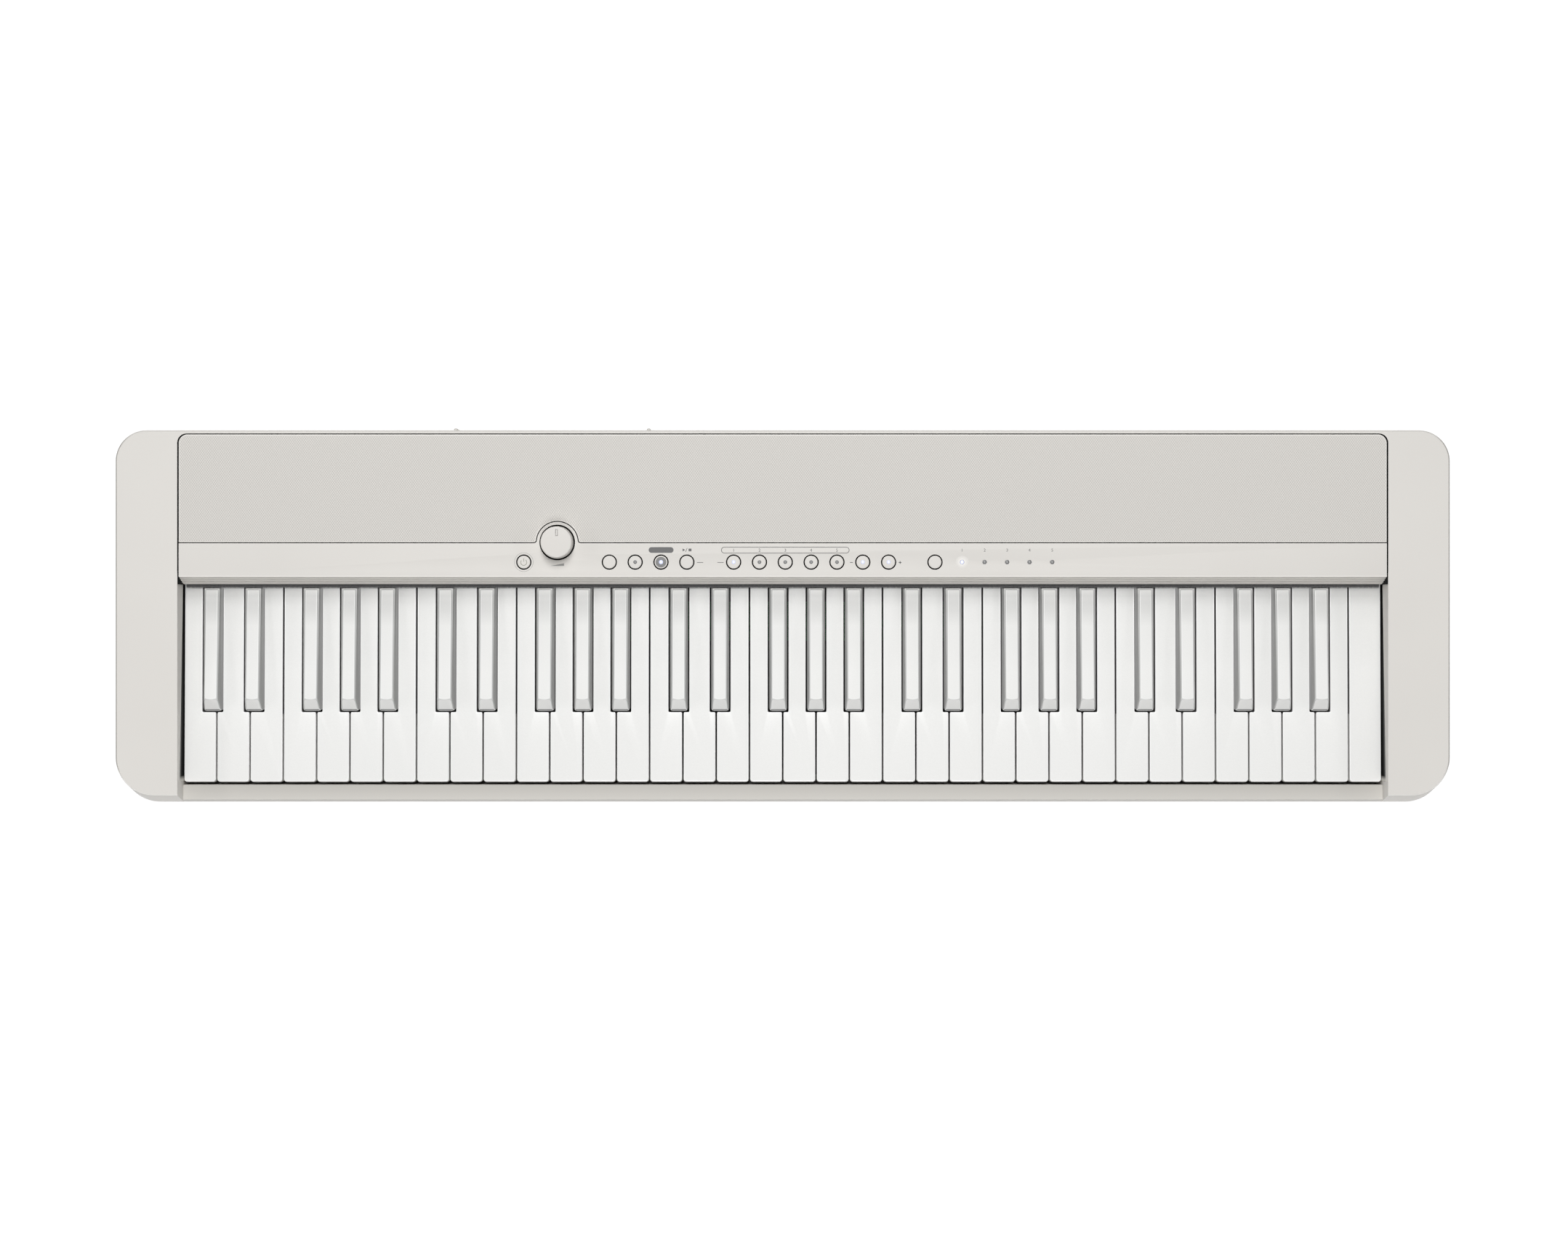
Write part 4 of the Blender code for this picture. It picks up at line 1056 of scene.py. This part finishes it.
flat(marks, capsule(px_x(892.3), px_x(926.5), px_y(760.3), px_y(752.4)), PRINT)
band(marks, capsule(px_x(992.0), px_x(1168.5), px_y(761.0), px_y(752.0)), 0.42, PRINT)
bar(marks, px_x(958.7), px_y(773.5), px_x(967.3), px_y(773.5), 0.4, PRINT)
bar(marks, px_x(986.8), px_y(773.5), px_x(995.4), px_y(773.5), 0.4, PRINT)
bar(marks, px_x(1169.2), px_y(773.5), px_x(1173.2), px_y(773.5), 0.5, PRINT)
bar(marks, px_x(1236.2), px_y(773.5), px_x(1240.2), px_y(773.5), 0.5, PRINT)
bar(marks, px_x(1238.2), px_y(775.5), px_x(1238.2), px_y(771.5), 0.5, PRINT)
flat(marks, [(px_x(939.0), px_y(758.4)), (px_x(942.6), px_y(756.3)), (px_x(939.0), px_y(754.2))], PRINT)
bar(marks, px_x(943.1), px_y(758.8), px_x(945.3), px_y(753.8), 0.38, PRINT)
flat(marks, [(px_x(947.2), px_y(758.2)), (px_x(951.2), px_y(758.2)), (px_x(951.2), px_y(754.4)), (px_x(947.2), px_y(754.4))], PRINT)
# a plain rising wedge under the knob stands for louder to the right
flat(marks, [(px_x(757.0), px_y(778.2)), (px_x(776.0), px_y(778.2)), (px_x(776.0), px_y(774.6))], PRINT_PALE)
power_x = BUTTONS["power_button"]
ring_z(marks, power_x, BUTTON_Y, 6.42, 6.62, z0, z1, PRINT_PALE, 64)
settle(marks.make("panel_print", smooth=False), "case", "panel_plastic")


def numeral(text, x, y, height, z, name, surface):
    curve = bpy.data.curves.new(name, "FONT")
    curve.body = text
    curve.size = height * 1.38 * MM
    curve.extrude = 0.03 * MM
    curve.align_x = "CENTER"
    curve.resolution_u = 4
    holder_obj = bpy.data.objects.new(name + "_text", curve)
    bpy.context.scene.collection.objects.link(holder_obj)
    bpy.context.view_layer.update()
    graph = bpy.context.evaluated_depsgraph_get()
    mesh = bpy.data.meshes.new_from_object(holder_obj.evaluated_get(graph), depsgraph=graph)
    bpy.data.objects.remove(holder_obj)
    mesh.name = name
    mesh.materials.clear()
    mesh.materials.append(surface)
    obj = bpy.data.objects.new(name, mesh)
    obj.location = (x * MM, (y - height / 2 + SHIFT_Y) * MM, z * MM)
    bpy.context.scene.collection.objects.link(obj)
    return obj


for number, x in enumerate(LIGHTS_X, 1):
    settle(numeral(str(number), x, px_y(756.4), 2.15, PLATE_Z1, f"numeral_{number}", PRINT), "case", "panel_plastic")
for number in range(1, 6):
    x = BUTTONS[f"tone_button_{number}"]
    settle(numeral(str(number), x, px_y(756.5), 2.25, PLATE_Z1, f"tone_numeral_{number}", PRINT), "case", "panel_plastic")

# indicator lamps
lamps = Shape()
for i, x in enumerate(LIGHTS_X):
    if i == 0:
        turned(lamps, x, BUTTON_Y, [(1.45, 60.6), (1.45, 61.45), (1.2, 61.56)], LAMP_ON_EDGE, 32)
        turned(lamps, x, BUTTON_Y, [(0.8, 61.0), (0.8, 61.58), (0.6, 61.66)], LAMP_ON, 32)
    else:
        turned(lamps, x, BUTTON_Y, [(1.45, 60.6), (1.45, 61.4), (1.3, 61.46)], LAMP_OFF, 32)
        turned(lamps, x, BUTTON_Y, [(0.62, 61.0), (0.62, 61.46), (0.35, 61.52)], LAMP_OFF_CORE, 24)
settle(lamps.make("lamp_windows"), "case", "light_guide")
glow = Shape()
centre = (LIGHTS_X[0] * MM, (BUTTON_Y + SHIFT_Y) * MM, PLATE_Z1 * MM)
ring_z(glow, LIGHTS_X[0], BUTTON_Y, 1.7, 4.6, PLATE_Z1 - 0.05, PLATE_Z1 + 0.015, glow_material("lamp_glow", PANEL_RGB, centre, 4.6 * MM, 0.22), 48)
settle(glow.make("lamp_halo"), "case", "panel_plastic")

# ================================================================ buttons and knob
for name, x in BUTTONS.items():
    cap = Shape()
    turned(cap, x, BUTTON_Y, [(2.2, 56.0), (2.2, 57.0), (FLANGE_R, 57.0), (FLANGE_R, 58.4), (CAP_R - 0.05, 58.45), (CAP_R - 0.05, 58.9)], BLACK)
    turned(
        cap,
        x,
        BUTTON_Y,
        [(CAP_R, 58.8), (CAP_R, 61.55), (CAP_R - 0.06, 61.8), (CAP_R - 0.22, 61.98), (CAP_R - 0.5, 62.07), (CAP_R - 0.8, 62.09), (1.2, 62.06)],
        BUTTON,
    )
    top = 62.09
    if name == "effect_button":
        turned(cap, x, BUTTON_Y, [(3.72, 61.9), (3.72, top + 0.015), (3.6, top + 0.03)], DISC)
        top += 0.03
    if name in LIT_BUTTONS:
        size = 1.0 if name == "effect_button" else 0.92
        turned(cap, x, BUTTON_Y, [(1.5 * size, top - 0.3), (1.5 * size, top + 0.01), (1.38 * size, top + 0.03)], LAMP_ON_EDGE, 32)
        turned(cap, x, BUTTON_Y, [(0.72 * size, top - 0.2), (0.72 * size, top + 0.04), (0.5 * size, top + 0.07)], LAMP_ON, 32)
    if name in DIM_BUTTONS:
        turned(cap, x, BUTTON_Y, [(1.3, top - 0.3), (1.3, top + 0.01), (1.2, top + 0.03)], LAMP_OFF, 32)
        turned(cap, x, BUTTON_Y, [(0.55, top - 0.2), (0.55, top + 0.04), (0.3, top + 0.05)], LAMP_OFF_CORE, 24)
    if name == "power_button":
        arc_out = [(x + 2.35 * math.sin(math.radians(a)), BUTTON_Y - 0.15 + 2.35 * math.cos(math.radians(a))) for a in range(-322, -37, 15)]
        arc_in = [(x + 1.85 * math.sin(math.radians(a)), BUTTON_Y - 0.15 + 1.85 * math.cos(math.radians(a))) for a in range(-322, -37, 15)]
        flat(cap, arc_out + arc_in[::-1], ENGRAVED, top - 0.1, top + 0.012)
        bar(cap, x, BUTTON_Y + 0.3, x, BUTTON_Y + 2.6, 0.5, ENGRAVED, top - 0.1, top + 0.012)
    settle(cap.make(f"cap_{name}"), name, "button_plastic_grey" if name == "effect_button" else "button_plastic", name)

knob = Shape()
turned(
    knob,
    KNOB_X,
    KNOB_Y,
    [(3.3, 71.3), (3.3, 60.75), (11.0, 60.75), (11.28, 60.95), (11.35, 61.4), (11.12, 66.0), (10.86, 71.9), (10.82, 72.3), (10.7, 72.65), (10.48, 72.87), (10.2, 72.98), (9.8, 73.0)],
    KNOB,
    96,
)
mark_x, mark_y = KNOB_X + 0.35, KNOB_Y + 6.55
frame_loop = filleted([(mark_x - 0.8, mark_y - 2.3), (mark_x + 0.8, mark_y - 2.3), (mark_x + 0.8, mark_y + 2.3), (mark_x - 0.8, mark_y + 2.3)], [0.2] * 4, 3)
band(knob, frame_loop, 0.24, KNOB_MARK, 72.9, 73.0)
settle(knob.make("knob_cap"), "volume_knob", "knob_plastic", "volume_knob")


# ================================================================ keys
def key_top(y):
    return KEY_TOP_Z - KEY_SLOPE * (y - KEY_FRONT_Y)


def natural_key(shape, index, rear):
    hl, hr, sl, sr = natural_edges(index)
    points, radii = [(hl, KEY_FRONT_Y), (hr, KEY_FRONT_Y)], [2.0, 2.0]
    if sr < hr:
        points += [(hr, NOTCH_Y), (sr, NOTCH_Y)]
        radii += [0.9, 0.9]
    points += [(sr, rear), (sl, rear)]
    radii += [0.0, 0.0]
    if sl > hl:
        points += [(sl, NOTCH_Y), (hl, NOTCH_Y)]
        radii += [0.9, 0.9]
    plan = filleted(points, radii, 6)
    flare, start = [
        [far if near[1] < NOTCH_Y - 1.2 else near for near, far in zip(plan, offset(plan, -d))] for d in (0.26, 0.2)
    ]
    rings = [[(x, y, KEY_BASE_Z) for x, y in flare], [(x, y, key_top(y) - 6.0) for x, y in flare], [(x, y, key_top(y) - 3.2) for x, y in start]]
    shell = len(rings)
    for k in range(6):
        a = math.radians(90 * k / 5)
        ring = []
        for (px, py), (x, y) in zip(plan, offset(plan, 0.6 * (1 - math.cos(a)))):
            front = max(0.0, min(1.0, (KEY_FRONT_Y + 2.6 - py) / 2.0))
            r = 0.6 + 0.6 * front
            y += 0.6 * front * (1 - math.cos(a))
            ring.append((x, y, key_top(y) - r + r * math.sin(a)))
        rings.append(ring)
    shape.loft(rings, NATURAL_SIDE, top=NATURAL, edges=(shell, KEY_EDGE_HIGHLIGHT))


SHARP_LEVELS = (
    # height at the shoulder, half width, front, rear, corner radius, bow of the front edge, share of the top's slope
    (30.0, 6.25, -65.6, 20.3, 1.8, 0.0, 0.0),
    (37.0, 6.38, -66.2, 20.3, 2.2, 0.0, 0.0),
    (39.4, 6.35, -66.3, 20.3, 2.2, 0.0, 0.0),
    (40.3, 6.28, -65.75, 20.3, 2.1, 0.0, 0.04),
    (41.85, 6.0, -64.75, 20.25, 1.9, 0.0, 0.2),
    (42.0, 5.97, -64.6, 20.25, 1.9, 0.0, 0.22),
    (42.15, 5.95, -64.43, 20.2, 1.85, 0.01, 0.23),
    (43.6, 5.72, -62.9, 20.2, 1.7, 0.08, 0.4),
    (45.0, 5.5, -61.42, 20.2, 1.5, 0.15, 0.56),
    (46.4, 5.3, -59.95, 20.1, 1.3, 0.22, 0.72),
    (47.2, 5.17, -59.1, 20.0, 1.2, 0.3, 0.84),
    (47.75, 4.98, -58.53, 19.75, 1.2, 0.35, 0.93),
    (48.2, 4.72, -58.07, 19.5, 1.15, 0.4, 1.0),
    (48.55, 4.42, -57.7, 19.2, 1.1, 0.45, 1.0),
    (48.8, 4.12, -57.36, 18.9, 1.0, 0.5, 1.0),
    (48.93, 3.88, -57.05, 18.6, 0.95, 0.52, 1.0),
    (48.97, 3.64, -56.8, 18.4, 0.9, 0.55, 1.0),
)
TOP_FALL = 0.0765


def sharp_loop(x0, level):
    z, half, front_y, rear_y, radius, bow, share = level
    points = []
    for k in range(9):  # front edge, left to right, between the corners
        t = -1 + k / 4
        points.append((t * (half - radius), front_y - bow * (1 - t * t)))
    for k in range(1, 8):
        a = math.radians(-90 + 90 * k / 7)
        points.append((half - radius + radius * math.cos(a), front_y + radius + radius * math.sin(a)))
    for y in (-40.0, -10.0):
        points.append((half, y))
    for k in range(6):
        a = math.radians(90 * k / 5)
        points.append((half - 0.5 + 0.5 * math.cos(a), rear_y - 0.5 + 0.5 * math.sin(a)))
    for k in range(6):
        a = math.radians(90 + 90 * k / 5)
        points.append((-half + 0.5 + 0.5 * math.cos(a), rear_y - 0.5 + 0.5 * math.sin(a)))
    for y in (-10.0, -40.0):
        points.append((-half, y))
    for k in range(7):
        a = math.radians(180 + 90 * k / 7)
        points.append((-half + radius + radius * math.cos(a), front_y + radius + radius * math.sin(a)))
    return [(x0 + x, y, z - share * TOP_FALL * (y + 56.0)) for x, y in points]


def sharp_key(shape, index, rear):
    x0 = sharp_centre(index)
    shape.loft([sharp_loop(x0, level) for level in SHARP_LEVELS], SHARP, top=SHARP, edges=(len(SHARP_LEVELS) - 2, KEY_EDGE_HIGHLIGHT))
    shape.box(x0 - SHARP_HALF, x0 + SHARP_HALF, 19.8, rear, 30.0, 37.8, SHARP)


def comb(name, kind, members):
    z0, z1 = RAIL_Z[kind]
    keys = Shape()
    surface = SHARP if kind == "sharp" else NATURAL
    if kind == "sharp":
        spans = [(sharp_centre(i) - SHARP_HALF, sharp_centre(i) + SHARP_HALF) for i in members]
    else:
        spans = [natural_edges(i)[2:] for i in members]
    for i in members:
        (sharp_key if kind == "sharp" else natural_key)(keys, i, ARM_REAR_Y)
    keys.box(spans[0][0] + 1.0, spans[-1][1] - 1.0, 58.5, 70.0, z0, z1, surface)
    for low, high in spans:
        middle = (low + high) / 2
        keys.box(middle - 3.5, middle + 3.5, 54.5, 60.5, z0 + 0.5, z1 - 0.5, surface)
    settle(keys.make(f"fine_{name}", 32.0), name, "sharp_plastic" if kind == "sharp" else "natural_plastic", name)


NOTES = ("c", "d", "e", "f", "g", "a", "b")
for octave in range(5):
    first = octave * 7
    number = octave + 2
    if octave == 2:
        for step_index in range(7):
            node = f"key_{NOTES[step_index]}{number}"
            one = Shape()
            natural_key(one, first + step_index, SINGLE_REAR_Y)
            settle(one.make(f"fine_{node}", 32.0), node, "natural_plastic", node)
            if step_index in SHARP_OFFSET:
                node = f"key_{NOTES[step_index]}_sharp{number}"
                one = Shape()
                sharp_key(one, first + step_index, SINGLE_REAR_Y)
                settle(one.make(f"fine_{node}", 32.0), node, "sharp_plastic", node)
        continue
    comb(f"keys_c_e_g_b_{number}", "cegb", [first + i for i in (0, 2, 4, 6)])
    comb(f"keys_d_f_a_{number}", "dfa", [first + i for i in (1, 3, 5)])
    comb(f"keys_sharps_{number}", "sharp", [first + i for i in (0, 1, 3, 4, 5)])
one = Shape()
natural_key(one, 35, SINGLE_REAR_Y)
settle(one.make("fine_key_c7", 32.0), "key_c7", "natural_plastic", "key_c7")

# ================================================================ bushings and rims of the rear terminals
terminals = Shape()
for name, bore, inner, outer in (("phones_jack", 1.8, 1.85, 3.0), ("pedal_jack", 3.25, 3.3, 4.7), ("dc_inlet", 2.9, 2.95, 3.5)):
    x = JACKS[name]
    turned_y(terminals, x, JACK_Z, [(inner, 129.45), (outer, 129.45), (outer, 129.68), (outer - 0.12, 129.8), (inner + 0.15, 129.8), (inner, 129.65)], SHELL, 48, True)
for name, barrel, mouth in (("phones_jack", 4.0, 4.6), ("pedal_jack", 5.8, 6.4), ("dc_inlet", 4.4, 5.0)):
    x = JACKS[name]
    turned_y(terminals, x, JACK_Z, [(barrel + 0.02, 127.4), (mouth - 0.02, 127.4), (mouth - 0.02, 129.2), (barrel + 0.02, 129.2)], DARK, 48, True)
settle(terminals.make("terminal_rings"), "case", "socket_metal")

# ================================================================ inner nodes keep their shape and get finished materials
KEEP = {
    "key_chassis": DARK,
    "key_contact_board": BOARD,
    "main_board": BOARD,
    "panel_board": BOARD,
    "speaker_left": CONE,
    "speaker_right": CONE,
    "indicator_light_guide": GUIDE,
    "phones_jack": BLACK,
    "pedal_jack": BLACK,
    "dc_inlet": BLACK,
    "usb_port": SHELL,
}
for node, surface in KEEP.items():
    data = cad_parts[node].data
    data.materials.clear()
    data.materials.append(surface)

# ================================================================ stage, light, camera
def stage_material():
    made, tree, shader = tree_of("floor_white")
    tone = ramp(tree, noise(tree, 3.0, 2.0, 0.5), ((0.3, (0.10, 0.10, 0.10)), (0.7, (0.12, 0.12, 0.12))))
    tree.links.new(tone, shader.inputs["Base Color"])
    shader.inputs["Roughness"].default_value = 0.9
    shader.inputs["Specular IOR Level"].default_value = 0.1
    shader.inputs["Emission Color"].default_value = (1.0, 1.0, 1.0, 1.0)
    shader.inputs["Emission Strength"].default_value = 0.97
    return made


floor_mesh = bpy.data.meshes.new("floor")
floor_mesh.from_pydata([(-30, -30, 0), (30, -30, 0), (30, 30, 0), (-30, 30, 0)], [], [(0, 1, 2, 3)])
floor_mesh.materials.append(stage_material())
floor = bpy.data.objects.new("floor", floor_mesh)
bpy.context.scene.collection.objects.link(floor)

world = bpy.data.worlds.new("studio")
world.use_nodes = True
world.node_tree.nodes["Background"].inputs["Color"].default_value = (1.0, 1.0, 1.0, 1.0)
world.node_tree.nodes["Background"].inputs["Strength"].default_value = 0.15
bpy.context.scene.world = world


def softbox(name, place, target, size_x, size_y, power):
    data = bpy.data.lights.new(name, "AREA")
    data.shape = "RECTANGLE"
    data.size, data.size_y = size_x, size_y
    data.energy = power
    obj = bpy.data.objects.new(name, data)
    obj.location = place
    obj.rotation_mode = "QUATERNION"
    obj.rotation_quaternion = (Vector(target) - Vector(place)).to_track_quat("-Z", "Y")
    obj.visible_camera = False
    bpy.context.scene.collection.objects.link(obj)


softbox("rear", (-0.12, 1.45, 3.0), (0.0, 0.0, 0.0), 1.0, 1.7, 68.0)
softbox("front", (0.0, -1.6, 2.8), (0.0, 0.0, 0.0), 1.0, 1.0, 27.5)
softbox("left", (-2.7, 0.1, 1.56), (0.0, 0.0, 0.0), 1.8, 0.3, 7.0)
softbox("right", (2.7, 0.1, 1.56), (0.0, 0.0, 0.0), 1.8, 0.3, 5.5)

camera_data = bpy.data.cameras.new("camera")
camera_data.sensor_fit = "HORIZONTAL"
camera_data.sensor_width = 36.0
camera_data.lens = 69.2
camera_data.clip_start, camera_data.clip_end = 0.05, 100.0
camera = bpy.data.objects.new("camera", camera_data)
camera.location = (0.0009, (-2.9 + SHIFT_Y) * MM, 2.1615)
camera.rotation_euler = (0.0, 0.0, 0.0)
bpy.context.scene.collection.objects.link(camera)
bpy.context.scene.camera = camera
bpy.context.scene.view_settings.view_transform = "Standard"
bpy.context.scene.view_settings.look = "None"
